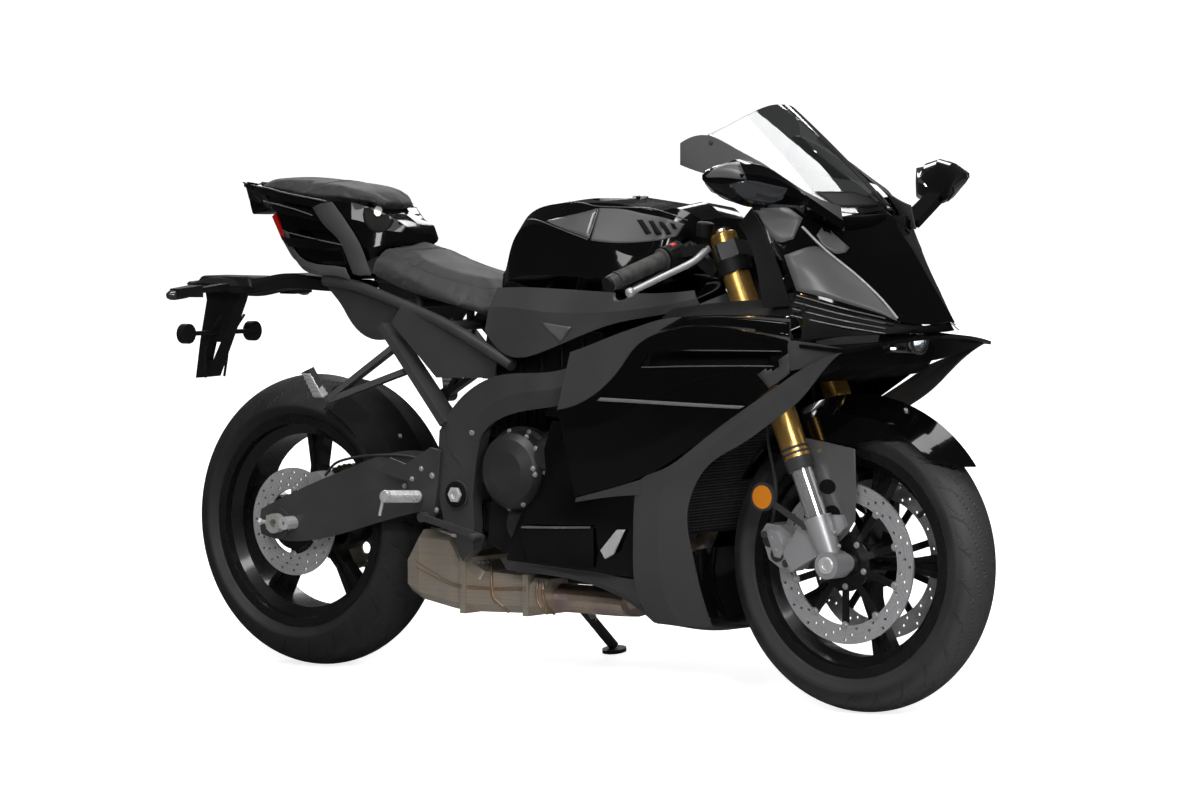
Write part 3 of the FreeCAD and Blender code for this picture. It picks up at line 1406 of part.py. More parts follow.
def front_calipers():
    # Radial calipers: a body over each disc, bolted to the fork foot's lug.
    found = []
    for s in (-1, 1):
        disc_y = s * front_disc_offset
        outline = [(20, -96), (40, -132), (64, -150), (120, -148), (132, -128), (118, -98), (96, -84),
                   (52, -70)]
        body = plate_in_fork(outline, disc_y - 32, disc_y + 32)
        rib = plate_in_fork([(56, -120), (64, -132), (114, -132), (118, -120), (108, -108), (66, -106)],
                            disc_y + s * 30, disc_y + s * 38)
        gap = disc_thickness / 2 + 5
        slot = cyl(front_axle + V(0, disc_y - gap, 0), front_axle + V(0, disc_y + gap, 0),
                   front_disc_radius + 6)
        lug = plate_in_fork([(30, -96), (58, -110), (92, -96), (80, -70)], s * (fork_half_spacing - 40),
                            s * (fork_half_spacing - lug_half - seat_gap))
        found.append(body.cut(slot).fuse(lug).fuse(rib).cut(slot))
    return found


def rear_caliper():
    # The small floating caliper over the rear disc, on a bracket that rides on the axle.
    y = -rear_disc_offset
    gap = disc_thickness / 2 + 3
    body = plate_xz([(62, 398), (106, 372), (122, 398), (84, 428), (64, 424)], y - 24, y + 24)
    slot = cyl(rear_axle + V(0, y - gap, 0), rear_axle + V(0, y + gap, 0), rear_disc_radius + 5)
    hanger = plate_xz([(-24, 332), (24, 332), (84, 388), (104, 374), (96, 352), (24, 294), (-24, 294)],
                      -rear_bracket_outer, -rear_bracket_inner)
    solid = body.cut(slot).fuse(hanger)
    return largest(solid.cut(cyl(rear_axle - V(0, 200, 0), rear_axle, 20 + seat_gap)).cut(swingarm()))


def around_fender(angle, drop, y):
    # A point on the fender, by its angle about the axle and its depth below the crown's radius.
    turn = math.radians(angle)
    r = front_tyre_radius + fender_gap - drop
    return front_axle + V(r * math.cos(turn), y, r * math.sin(turn))


def front_fender():
    rails = []
    for y, drop, first, last in ((-70, 22, 48, 140), (-36, 2, 40, 150), (0, -18, 37, 153), (36, 2, 40, 150),
                                 (70, 22, 48, 140)):
        rails.append([around_fender(first + (last - first) * k / 5, drop, y) for k in range(6)])
    pieces = [skin(rails, 3, front_axle)]
    skirt = ((60, 18), (75, 18), (90, 18), (105, 18), (120, 18), (132, 18), (126, 54), (116, 84), (92, 84),
             (72, 54))
    stay = [(250, 26), (205, 96), (150, 104), (92, 62), (84, 50), (64, 48), (62, 30), (110, 26), (190, 10)]
    for s in (-1, 1):
        outline = [around_fender(angle, drop, s * 67) for angle, drop in skirt]
        pieces.append(polygon(outline).extrude(V(0, s * 3.4, 0)))
        pieces.append(plate_in_fork(stay, s * (fork_half_spacing - 26 - seat_gap), s * 69))
    return fused(pieces)


def bar_line(s):
    # Where a clip-on bar starts beside its fork tube and where it ends.
    return pt(1096, s * 134, 922), pt(1054, s * 326, 857)


def handlebars():
    found = []
    ring_at = upper_yoke_at - yoke_thickness / 2 - 16
    for s in (-1, 1):
        a = fork_point(ring_at - 14, s * fork_half_spacing)
        b = fork_point(ring_at + 14, s * fork_half_spacing)
        clear = fork_outer_radius + 0.1
        ring = tube(a, b, fork_outer_radius + 9, clear)
        root, tip = bar_line(s)
        direction = (tip - root).normalize()
        start = fork_point(ring_at - 2, s * (fork_half_spacing + 26), -24)
        arm = bar(start, root + direction * 8, V(0, 0, 1), 26, 22, 24, 24)
        arm = arm.cut(cyl(a - steer_up * 40, b + steer_up * 60, clear)).cut(yokes())
        shaft = cyl(root, tip, bar_radius)
        grip = cyl(root + direction * 82, tip, grip_radius)
        flange = cyl(root + direction * 78, root + direction * 83, 22)
        weight = cyl(tip, tip + direction * bar_end, 15)
        found.append(fused([ring, arm, shaft, grip, flange, weight]))
    return found


@once
def bar_sweep(s):
    # The room that one grip, its housing and its clamp pass through near the end of the steering.
    root, tip = bar_line(s)
    direction = (tip - root).normalize()
    end = tip + direction * (bar_end + bar_clearance)
    room = cyl(root - direction * 30, end, grip_radius + bar_clearance)
    room = room.fuse(cyl(root + direction * 26, root + direction * 88, housing_radius + bar_clearance))
    collar = fork_point(upper_yoke_at - yoke_thickness / 2 - 40, s * fork_half_spacing)
    tube_end = fork_point(fork_top + 6 + bar_clearance, s * fork_half_spacing)
    room = room.fuse(cyl(collar, tube_end, fork_outer_radius + 9 + bar_clearance))
    room = room.fuse(cyl(collar + steer_up * 22, root + direction * 8, 17 + bar_clearance))
    found = []
    for share in (0.55, 0.7, 0.85, 1.0):
        found.append(turned(room, s * steering_lock * share, steer_foot, steer_up))
    return fused(found)


def hand_controls():
    found = []
    for s in (-1, 1):
        root, tip = bar_line(s)
        direction = (tip - root).normalize()
        shaft = cyl(root, tip, bar_radius + 0.1)
        housing = cyl(root + direction * 34, root + direction * 74, housing_radius)
        pivot = root + direction * 30 + V(66, 0, 6)
        perch = bar(root + direction * 44, pivot, V(0, 0, 1), 26, 20)
        knee = pivot + direction * 52 + V(4, 0, -12)
        end = pivot + direction * 186 + V(-24, 0, -26)
        lever = pipe([pivot, knee, end], 6)
        found.append(fused([housing, perch, lever, Part.makeSphere(9, end)]).cut(shaft))
    return found


def side_reflectors():
    found = []
    for s in (-1, 1):
        centre = V(stretch(1267), s * (fork_half_spacing + 18), 428)
        disc = cyl(centre, centre + V(0, s * 8, 0), reflector_radius)
        pad_root = fork_point(90, s * (fork_half_spacing + 2), -22)
        stay = bar(centre + V(0, s * 2, 0), pad_root + V(0, s * 17, 0), V(0, 1, 0), 12, 4)
        pad = cyl(pad_root, pad_root + V(0, s * 19, 0), 8)
        solid = fused([disc, stay, pad])
        for foot in fork_feet():
            solid = solid.cut(foot)
        found.append(largest(solid))
    return found


# Stand and filler cap

def stand_foot_point():
    x = stand_pivot.x + 46
    y = stand_foot_reach
    return V(x, y, floor_height(x, y))


def side_stand():
    foot = stand_foot_point()
    up = unparked_direction(V(0, 0, 1))
    sole = cyl(foot, foot + up * stand_sole, 26)
    ankle = foot + up * (stand_sole + 4)
    leg = cyl(stand_pivot, ankle, stand_tube_radius)
    axis = stand_axis()
    eye = cyl(stand_pivot - axis * 14, stand_pivot + axis * 14, 17)
    pin = cyl(stand_pivot - axis * 18, stand_pivot + axis * 34, stand_pin_radius)
    return fused([sole, leg, eye, pin])


def stand_axis():
    down = (stand_foot_point() - stand_pivot).normalize()
    fold = V(stand_fold_direction.x, stand_fold_direction.y, stand_fold_direction.z).normalize()
    return down.cross(fold).normalize()


def stand_fold_angle():
    down = (stand_foot_point() - stand_pivot).normalize()
    fold = V(stand_fold_direction.x, stand_fold_direction.y, stand_fold_direction.z).normalize()
    return math.degrees(math.acos(down.dot(fold)))


def stand_bracket():
    # The lug under the frame plate that the stand's pivot pin turns in.
    axis = stand_axis()
    a = stand_pivot + axis * 15
    b = stand_pivot + axis * 34
    arm = bar(V(stand_pivot.x - 8, 138, stand_pivot.z + 72), (a + b) * 0.5, V(1, 0, 0), 26, 38, 18, 30)
    lug = cyl(a, b, 18).fuse(arm)
    room = cyl(a - axis * 80, a - axis * 0.01, 60)
    return lug.cut(room).cut(cyl(a - axis * 5, b + axis * 5, stand_pin_radius + running_gap))


def cap_hinge():
    # The pin line across the front edge of the filler ring.
    return pt(cap_x, 0, cap_seat + cap_height) + V(cap_radius + 6, 0, 2)


def fuel_cap():
    base = pt(cap_x, 0, cap_seat)
    lid = cyl(base, base + V(0, 0, cap_height), cap_radius)
    hinge = cap_hinge()
    knuckle = cyl(hinge - V(0, 10, 0), hinge + V(0, 10, 0), 4)
    link = box_between(hinge + V(-20, -7, -3), hinge + V(0, 7, 3))
    return fused([lid, knuckle, link])


NODES = {
    "main_frame": main_frame,
    "subframe": subframe,
    "swingarm": swingarm,
    "rear_axle": rear_axle_set,
    "paddock_bosses": paddock_bosses,
    "drive_chain": drive_chain,
    "rear_hugger": rear_hugger,
    "rear_shock": rear_shock,
    "engine_block": engine_block,
    "engine_covers": engine_covers,
    "radiator": radiator,
    "exhaust_headers": exhaust_headers,
    "silencer": silencer,
    "fuel_tank": fuel_tank,
    "tank_side_covers": tank_side_covers,
    "rider_seat": rider_seat,
    "passenger_seat": passenger_seat,
    "tail_cowl": tail_cowl,
    "tail_light": tail_light,
    "plate_holder": plate_holder,
    "fairing_bands": fairing_bands,
    "side_fairings": side_fairings,
    "lower_fairings": lower_fairings,
    "belly_pan": belly_pan,
    "upper_cowl": upper_cowl,
    "cheek_flanges": cheek_flanges,
    "headlamps": headlamps,
    "windscreen": windscreen,
    "screen_garnish": screen_garnish,
    "fairing_stay": fairing_stay,
    "fairing_brackets": fairing_brackets,
    "cockpit_panel": cockpit_panel,
    "mirrors": mirrors,
    "winglets": winglets,
    "footrests": footrests,
    "passenger_footrests": passenger_footrests,
    "yokes": yokes,
    "fork_outer_tubes": fork_outer_tubes,
    "fork_inner_tubes": fork_inner_tubes,
    "fork_feet": fork_feet,
    "front_axle": front_axle_set,
    "front_calipers": front_calipers,
    "front_fender": front_fender,
    "handlebars": handlebars,
    "hand_controls": hand_controls,
    "side_reflectors": side_reflectors,
    "front_rim": front_rim,
    "front_tyre": front_tyre,
    "front_discs": front_discs,
    "rear_rim": rear_rim,
    "rear_tyre": rear_tyre,
    "rear_disc": rear_disc,
    "rear_caliper": rear_caliper,
    "rear_sprocket": rear_sprocket,
    "side_stand": side_stand,
    "fuel_cap": fuel_cap,
}


def to_parked(shape):
    moved = shape.copy()
    moved.rotate(V(0, 0, 0), V(1, 0, 0), -lean)
    moved.translate(parked_origin() * -1)
    return moved


def build(names=None):
    os.makedirs("parts", exist_ok=True)
    for name, make in NODES.items():
        if names and name not in names:
            continue
        made = make()
        pieces = made if isinstance(made, list) else [made]
        solids = []
        for piece in pieces:
            solids += [to_parked(s) for s in piece.Solids]
        out = solids[0] if len(solids) == 1 else Part.makeCompound(solids)
        out.exportStep(os.path.join("parts", name + ".step"))
        bad = [s for s in solids if not s.isValid() or s.Volume <= 0]
        volume = round(sum(s.Volume for s in solids) / 1000)
        print(name, len(solids), "solids", volume, "cm3", "INVALID" if bad else "")


def rounded_path(points):
    # Straight runs joined by tangent arcs, each as large as its two runs allow.
    edges = []
    start = points[0]
    for before, corner, after in zip(points[:-2], points[1:-1], points[2:]):
        into = (corner - before).normalize()
        out = (after - corner).normalize()
        reach = 0.4 * min((corner - before).Length, (after - corner).Length)
        a = corner - into * reach
        b = corner + out * reach
        turn = into.getAngle(out)
        radius = reach / math.tan(turn / 2)
        sag = radius * (1 / math.cos(turn / 2) - 1)
        middle = corner + ((a + b) * 0.5 - corner).normalize() * sag
        edges.append(Part.LineSegment(start, a).toShape())
        edges.append(Part.Arc(a, middle, b).toShape())
        start = b
    edges.append(Part.LineSegment(start, points[-1]).toShape())
    return Part.Wire(edges)


if __name__ == "__main__":
    build()
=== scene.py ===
import json
import math
import bpy
import bmesh
from mathutils import Matrix, Vector
from mathutils.bvhtree import BVHTree


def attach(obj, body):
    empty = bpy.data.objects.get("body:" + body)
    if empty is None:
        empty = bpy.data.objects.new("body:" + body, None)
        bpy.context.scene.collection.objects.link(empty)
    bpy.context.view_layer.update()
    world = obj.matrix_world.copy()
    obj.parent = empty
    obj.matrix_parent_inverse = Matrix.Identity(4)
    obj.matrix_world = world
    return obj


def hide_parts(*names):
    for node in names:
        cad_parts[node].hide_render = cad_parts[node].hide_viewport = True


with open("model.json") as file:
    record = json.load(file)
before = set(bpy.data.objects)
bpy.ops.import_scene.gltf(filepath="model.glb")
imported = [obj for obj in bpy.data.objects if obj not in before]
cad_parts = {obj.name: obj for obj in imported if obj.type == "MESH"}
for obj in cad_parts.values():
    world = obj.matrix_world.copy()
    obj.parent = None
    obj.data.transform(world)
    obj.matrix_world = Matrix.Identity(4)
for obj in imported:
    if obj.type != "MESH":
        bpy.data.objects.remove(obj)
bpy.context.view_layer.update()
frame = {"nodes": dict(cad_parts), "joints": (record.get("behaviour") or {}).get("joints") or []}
print("frame loaded,", len(frame["nodes"]), "nodes")

# The bike's own frame is in millimetres: x forward from the rear axle, y to its left, z up.
bikeFacts = {"lean": 9.0, "rearAxle": (0, 0, 315), "frontAxle": (1420, 0, 300), "rake": 22.67,
    "forkSpacing": 104}
bothSides = ((-1, "Right"), (1, "Left"))
mirrored = {True: ((1, "Right"), (-1, "Left")), False: ((1, ""),)}
axlePlace = Vector(next(j["pos_m"] for j in frame["joints"] if j["name"] == "rear_wheel_spin"))
turnOver = Matrix.Rotation(math.radians(-bikeFacts["lean"]), 4, "X")
parked = Matrix.Translation(axlePlace - turnOver @ (Vector(bikeFacts["rearAxle"]) / 1000)) @ turnOver
parkedMm = parked @ Matrix.Scale(0.001, 4)
unparked = parked.inverted()
rear = Vector(bikeFacts["rearAxle"])
front = Vector(bikeFacts["frontAxle"])
steerUp = Vector((-math.sin(math.radians(bikeFacts["rake"])), 0, math.cos(math.radians(bikeFacts["rake"]))))
steerAhead = Vector((steerUp.z, 0, -steerUp.x))


def forkPoint(along, side=0.0, ahead=0.0):
    return front + steerUp * along + steerAhead * ahead + Vector((0, side, 0))


# Making pieces

def linked(name, data):
    made = bpy.data.objects.new(name, data)
    bpy.context.scene.collection.objects.link(made)
    return made


def softened(mesh, angle):
    # Shades a mesh smooth, apart from the edges sharper than an angle.
    mesh.polygons.foreach_set("use_smooth", [angle > 0] * len(mesh.polygons))
    if angle > 0:
        mesh.set_sharp_from_angle(angle=math.radians(angle))


def finishMesh(bm, name, finishKey, body, smooth=30, keepNormals=False):
    # Sends a mesh built in the bike's frame to its parked place and lets it ride on a body.
    bmesh.ops.remove_doubles(bm, verts=bm.verts, dist=0.005)
    if not keepNormals:
        bmesh.ops.recalc_face_normals(bm, faces=bm.faces)
    mesh = bpy.data.meshes.new(name)
    bm.to_mesh(mesh)
    bm.free()
    mesh.transform(parkedMm)
    mesh.materials.append(finish[finishKey])
    softened(mesh, smooth)
    piece = linked(name, mesh)
    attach(piece, body)
    return piece


def bevelled(piece, width, segments=2, angle=35):
    # Rounds a piece's hard edges by a width in millimetres.
    modifier = piece.modifiers.new("softEdge", "BEVEL")
    modifier.width = width / 1000
    modifier.segments = segments
    modifier.limit_method = "ANGLE"
    modifier.angle_limit = math.radians(angle)
    modifier.harden_normals = False
    return piece


def thickened(piece, wall, offset=-1.0):
    # Gives a sheet a wall in millimetres.
    modifier = piece.modifiers.new("wall", "SOLIDIFY")
    modifier.thickness = wall / 1000
    modifier.offset = offset
    return piece


def turnOutward(bm, outward):
    bm.normal_update()
    if sum((f.normal * f.calc_area() for f in bm.faces), Vector()).dot(Vector(outward)) < 0:
        bmesh.ops.reverse_faces(bm, faces=bm.faces)


def sheetFaces(bm, rails):
    rows = [[bm.verts.new(p) for p in rail] for rail in rails]
    for a, b in zip(rows[:-1], rows[1:]):
        for k in range(len(a) - 1):
            bm.faces.new((a[k], a[k + 1], b[k + 1], b[k]))


def ringFaces(bm, rings, caps=True):
    # Joins rings of points, each the same count, into a skin with fans over its two ends.
    rows = [[bm.verts.new(p) for p in ring] for ring in rings]
    count = len(rows[0])
    for a, b in zip(rows[:-1], rows[1:]):
        for k in range(count):
            bm.faces.new((a[k], a[(k + 1) % count], b[(k + 1) % count], b[k]))
    for row in (rows[0], rows[-1]) if caps else ():
        middle = bm.verts.new(sum((v.co for v in row), Vector()) / count)
        for k in range(count):
            bm.faces.new((row[k], row[(k + 1) % count], middle))
    return rows


def frameAlong(direction):
    direction = Vector(direction).normalized()
    helper = Vector((0, 0, 1)) if abs(direction.z) < 0.9 else Vector((1, 0, 0))
    across = direction.cross(helper).normalized()
    return across, direction.cross(across).normalized()


def circle(centre, u, v, radius, sides):
    return [centre + (u * math.cos(t) + v * math.sin(t)) * radius
            for t in (2 * math.pi * k / sides for k in range(sides))]


def turnedShape(bm, base, direction, profile, sides=32, caps=True):
    # A turned part: profile lists (distance along, radius).
    direction = Vector(direction).normalized()
    u, v = frameAlong(direction)
    ringFaces(bm, [circle(Vector(base) + direction * along, u, v, max(radius, 0.02), sides)
                   for along, radius in profile], caps)


def tubeAlong(bm, points, radius, sides=12):
    # A round tube through points, each ring square to the path.
    points = [Vector(p) for p in points]
    rings = []
    u = None
    for k, p in enumerate(points):
        ahead = points[min(k + 1, len(points) - 1)] - points[max(k - 1, 0)]
        ahead.normalize()
        u = frameAlong(ahead)[0] if u is None else (u - ahead * u.dot(ahead)).normalized()
        r = radius[k] if isinstance(radius, (list, tuple)) else radius
        rings.append(circle(p, u, ahead.cross(u), r, sides))
    ringFaces(bm, rings)


def smoothPath(points, steps=8):
    # Points along a smooth curve that passes through the given ones.
    points = [Vector(p) for p in points]
    ends = [points[0] * 2 - points[1]] + points + [points[-1] * 2 - points[-2]]
    found = []
    for k in range(1, len(ends) - 2):
        p0, p1, p2, p3 = ends[k - 1:k + 3]
        for j in range(steps):
            t = j / steps
            found.append(0.5 * ((2 * p1) + (p2 - p0) * t + (2 * p0 - 5 * p1 + 4 * p2 - p3) * t * t
                                + (3 * p1 - p0 - 3 * p2 + p3) * t ** 3))
    found.append(points[-1])
    return found


def block(bm, centre, size, axes=((1, 0, 0), (0, 1, 0), (0, 0, 1)), taper=1.0):
    # A six-sided block on its own axes, narrower at its far end by the taper.
    x, y, z = [Vector(a).normalized() for a in axes]
    corners = []
    for c in (-1, 1):
        share = taper if c > 0 else 1.0
        for a, b in ((-1, -1), (1, -1), (1, 1), (-1, 1)):
            corners.append(bm.verts.new(Vector(centre) + x * a * share * size[0] / 2
                                        + y * b * share * size[1] / 2 + z * c * size[2] / 2))
    for k in range(4):
        bm.faces.new((corners[k], corners[(k + 1) % 4], corners[(k + 1) % 4 + 4], corners[k + 4]))
    bm.faces.new(corners[:4][::-1])
    bm.faces.new(corners[4:])


def plateXz(bm, outline, y0, y1):
    # A flat plate cut to an outline of (x, z) points.
    rows = ringFaces(bm, [[(x, y, z) for x, z in outline] for y in (y0, y1)], False)
    bm.faces.new(rows[0])
    bm.faces.new(rows[1][::-1])


def turnedPiece(name, base, way, profile, sides, finishKey, body, smooth=35):
    bm = bmesh.new()
    turnedShape(bm, base, way, profile, sides)
    return finishMesh(bm, name, finishKey, body, smooth)


def blockPiece(name, blocks, finishKey, body, width, segments=2):
    # One piece made of softened blocks, each listed as its centre, size, axes and taper.
    bm = bmesh.new()
    for each in blocks:
        block(bm, *each)
    return bevelled(finishMesh(bm, name, finishKey, body), width, segments)


# Materials

def setInputs(tree, node, values):
    # Links each value that is a socket and types in each that is not.
    for key, value in values.items():
        if isinstance(value, bpy.types.NodeSocket):
            tree.links.new(value, node.inputs[key])
        else:
            node.inputs[key].default_value = value


def addNode(tree, kind, settings=None, inputs=None):
    node = tree.nodes.new(kind)
    for key, value in (settings or {}).items():
        setattr(node, key, value)
    setInputs(tree, node, inputs or {})
    return node


def mathNode(tree, operation, a, b, clamp=False):
    return addNode(tree, "ShaderNodeMath", {"operation": operation, "use_clamp": clamp}, {0: a,
        1: b}).outputs[0]


def noiseNode(tree, vector, scale, detail):
    return addNode(tree, "ShaderNodeTexNoise", {}, {"Vector": vector, "Scale": scale,
                                                    "Detail": detail}).outputs["Fac"]


def lineNoise(tree, value, fineness, detail):
    return addNode(tree, "ShaderNodeTexNoise", {"noise_dimensions": "1D"},
                   {"W": mathNode(tree, "MULTIPLY", value, fineness), "Scale": 1.0,
                    "Detail": detail}).outputs["Fac"]


def startGroup(kind, name, inputs, outputs):
    # A node tree with its sockets, and each input's identifier by its name.
    tree = bpy.data.node_groups.new(name, kind)
    ids = {}
    for label, socketKind, value in inputs:
        socket = tree.interface.new_socket(name=label, in_out="INPUT", socket_type="NodeSocket" + socketKind)
        if value is not None:
            socket.default_value = value
        ids[label] = socket.identifier
    for label, socketKind in outputs:
        tree.interface.new_socket(name=label, in_out="OUTPUT", socket_type="NodeSocket" + socketKind)
    return tree, tree.nodes.new("NodeGroupInput"), tree.nodes.new("NodeGroupOutput"), ids


def makeEdgeWear():
    # Finds worn edges: where the rounded normal leaves the face's own, broken up by noise.
    tree, source, result = startGroup("ShaderNodeTree", "edgeWear", [
        ("Radius", "Float", 0.002), ("Amount", "Float", 0.5), ("Break Up", "Float", 60.0),
        ("Vector", "Vector", None)], [("Wear", "Float")])[:3]
    bevel = addNode(tree, "ShaderNodeBevel", {"samples": 4}, {"Radius": source.outputs["Radius"]})
    plain = addNode(tree, "ShaderNodeNewGeometry")
    dot = addNode(tree, "ShaderNodeVectorMath", {"operation": "DOT_PRODUCT"},
                  {0: bevel.outputs["Normal"], 1: plain.outputs["Normal"]})
    edge = mathNode(tree, "MULTIPLY", mathNode(tree, "SUBTRACT", 1.0, dot.outputs["Value"]), 9.0, True)
    noise = noiseNode(tree, source.outputs["Vector"], source.outputs["Break Up"], 5.0)
    worn = mathNode(tree, "MULTIPLY", edge, ranged(tree, noise, 0.0, 1.0, 0.42, 0.62))
    setInputs(tree, result, {"Wear": mathNode(tree, "MULTIPLY", worn, source.outputs["Amount"], True)})
    return tree


def makeGrain():
    # Fine surface grain in two sizes, as a height and as a mask for colour and roughness.
    tree, source, result = startGroup("ShaderNodeTree", "surfaceGrain", [
        ("Vector", "Vector", None), ("Scale", "Float", 900.0), ("Coarse Share", "Float", 0.4)],
        [("Height", "Float"), ("Mask", "Float")])[:3]
    fine = noiseNode(tree, source.outputs["Vector"], source.outputs["Scale"], 3.0)
    coarse = noiseNode(tree, source.outputs["Vector"], 14.0, 4.0)
    mix = addNode(tree, "ShaderNodeMix", {"data_type": "FLOAT"},
                  {0: source.outputs["Coarse Share"], 2: fine, 3: coarse})
    setInputs(tree, result, {"Height": mix.outputs[0], "Mask": coarse})
    return tree


def makeDust():
    # A thin film of dust that lies on what faces up and in broad soft patches.
    tree, source, result = startGroup("ShaderNodeTree", "dustFilm", [
        ("Vector", "Vector", None), ("Amount", "Float", 0.3)], [("Dust", "Float")])[:3]
    plain = addNode(tree, "ShaderNodeNewGeometry")
    split = addNode(tree, "ShaderNodeSeparateXYZ", {}, {"Vector": plain.outputs["Normal"]})
    both = mathNode(tree, "MULTIPLY", ranged(tree, split.outputs["Z"], 0.0, 1.0, -0.2, 1.0),
                    noiseNode(tree, source.outputs["Vector"], 22.0, 6.0))
    setInputs(tree, result, {"Dust": mathNode(tree, "MULTIPLY", both, source.outputs["Amount"], True)})
    return tree


def makeBrushed():
    # Marks of a lathe or a brush: noise along the first coordinate only.
    tree, source, result = startGroup("ShaderNodeTree", "brushMarks", [
        ("Vector", "Vector", None), ("Fineness", "Float", 1400.0)], [("Height", "Float")])[:3]
    split = addNode(tree, "ShaderNodeSeparateXYZ", {}, {"Vector": source.outputs["Vector"]})
    setInputs(tree, result, {"Height": lineNoise(tree, split.outputs["X"], source.outputs["Fineness"], 4.0)})
    return tree


def groupNode(tree, key, inputs):
    return addNode(tree, "ShaderNodeGroup", {"node_tree": groups[key]}, inputs)


def blendColour(tree, factor, a, b):
    a, b = [(*c, 1.0) if isinstance(c, tuple) else c for c in (a, b)]
    return addNode(tree, "ShaderNodeMix", {"data_type": "RGBA"}, {0: factor, 6: a, 7: b}).outputs[2]


def ranged(tree, value, low, high, fromLow=0.3, fromHigh=0.7):
    node = addNode(tree, "ShaderNodeMapRange", {}, {"Value": value, "From Min": fromLow, "From Max": fromHigh,
                                                    "To Min": low, "To Max": high})
    return node.outputs["Result"]


groups = {"wear": makeEdgeWear(), "grain": makeGrain(), "dust": makeDust(), "brushed": makeBrushed()}


def newMaterial(name):
    material = bpy.data.materials.new(name)
    material.use_nodes = True
    tree = material.node_tree
    return material, tree, tree.nodes["Principled BSDF"], addNode(tree, "ShaderNodeTexCoord").outputs["Object"]


def bikeVector(tree, place, centre):
    # Object coordinates turned upright and centred on a point of the bike's frame, in metres, by axis.
    toCentre = addNode(tree, "ShaderNodeMapping", {"vector_type": "POINT"},
                       {"Vector": place, "Location": -(parked @ (Vector(centre) / 1000))})
    turn = addNode(tree, "ShaderNodeMapping", {"vector_type": "POINT"},
                   {"Vector": toCentre.outputs["Vector"], "Rotation": (math.radians(bikeFacts["lean"]), 0, 0)})
    return addNode(tree, "ShaderNodeSeparateXYZ", {}, {"Vector": turn.outputs["Vector"]}).outputs


def fromAxle(tree, place, centre):
    # The distance from an axle that lies across the bike.
    local = bikeVector(tree, place, centre)
    flat = addNode(tree, "ShaderNodeCombineXYZ", {}, {"X": local["X"], "Y": local["Z"]})
    return addNode(tree, "ShaderNodeVectorMath", {"operation": "LENGTH"}, {0: flat.outputs[0]}).outputs["Value"]


def bump(tree, shader, height, distance, strength=1.0, before=None):
    inputs = {"Height": height, "Distance": distance, "Strength": strength}
    if before is not None:
        inputs["Normal"] = before
    normal = addNode(tree, "ShaderNodeBump", {}, inputs).outputs["Normal"]
    setInputs(tree, shader, {"Normal": normal})
    return normal


def paintedMaterial(name, colour, roughness, grainScale=1500.0, grainDepth=0.00002, coat=0.0,
                    coatRoughness=0.05, metallic=0.0, wear=0.3, wearColour=(0.35, 0.35, 0.36), dust=0.12,
                    drift=0.35, specular=0.5):
    # A painted or moulded finish: drift in tone, grain, worn edges, a film of dust and an optional clear coat.
    material, tree, shader, place = newMaterial(name)
    grain = groupNode(tree, "grain", {"Vector": place, "Scale": grainScale, "Coarse Share": 0.15})
    worn = groupNode(tree, "wear", {"Vector": place, "Radius": 0.0012, "Amount": wear}).outputs["Wear"]
    film = groupNode(tree, "dust", {"Vector": place, "Amount": dust}).outputs["Dust"]
    base = blendColour(tree, grain.outputs["Mask"], tuple(c * (1 - drift * 0.5) for c in colour),
                       tuple(min(1.0, c * (1 + drift)) for c in colour))
    base = blendColour(tree, worn, base, wearColour)
    rough = ranged(tree, grain.outputs["Mask"], max(0.02, roughness * 0.82), min(1.0, roughness * 1.2))
    setInputs(tree, shader, {
        "Base Color": blendColour(tree, film, base, (0.42, 0.4, 0.37)),
        "Roughness": mathNode(tree, "ADD", rough, mathNode(tree, "MULTIPLY", film, 0.5), True),
        "Metallic": metallic, "Specular IOR Level": specular, "Coat Weight": coat,
        "Coat Roughness": coatRoughness, "Coat IOR": 1.4})
    bump(tree, shader, grain.outputs["Height"], grainDepth)
    return material


def metalMaterial(name, colour, roughness, grainScale=700.0, grainDepth=0.00002, wear=0.2, dust=0.06,
                  brushAxis=None, brushCentre=(0, 0, 0), stain=None, stainAmount=0.35, metallic=0.55):
    # Bare, plated or anodised metal: brushed or cast, with stains and brighter edges.
    material, tree, shader, place = newMaterial(name)
    grain = groupNode(tree, "grain", {"Vector": place, "Scale": grainScale, "Coarse Share": 0.2})
    height = grain.outputs["Height"]
    mask = grain.outputs["Mask"]
    if brushAxis:
        line = (fromAxle(tree, place, brushCentre) if brushAxis == "round"
                else bikeVector(tree, place, brushCentre)[brushAxis])
        vector = addNode(tree, "ShaderNodeCombineXYZ", {}, {"X": line}).outputs["Vector"]
        height = groupNode(tree, "brushed", {"Vector": vector, "Fineness": 2600.0}).outputs["Height"]
    worn = groupNode(tree, "wear", {"Vector": place, "Radius": 0.001, "Amount": wear}).outputs["Wear"]
    film = groupNode(tree, "dust", {"Vector": place, "Amount": dust}).outputs["Dust"]
    base = blendColour(tree, mask, tuple(c * 0.88 for c in colour), tuple(min(1, c * 1.08) for c in colour))
    if stain:
        base = blendColour(tree, ranged(tree, mask, 0.0, stainAmount, 0.45, 0.7), base, stain)
    rough = ranged(tree, height, max(0.02, roughness * 0.75), min(1.0, roughness * 1.3))
    brighter = tuple(min(1, c * 1.25 + 0.08) for c in colour)
    setInputs(tree, shader, {"Base Color": blendColour(tree, worn, base, brighter), "Metallic": metallic,
                             "Roughness": mathNode(tree, "ADD", rough, film, True)})
    bump(tree, shader, height, grainDepth)
    return material


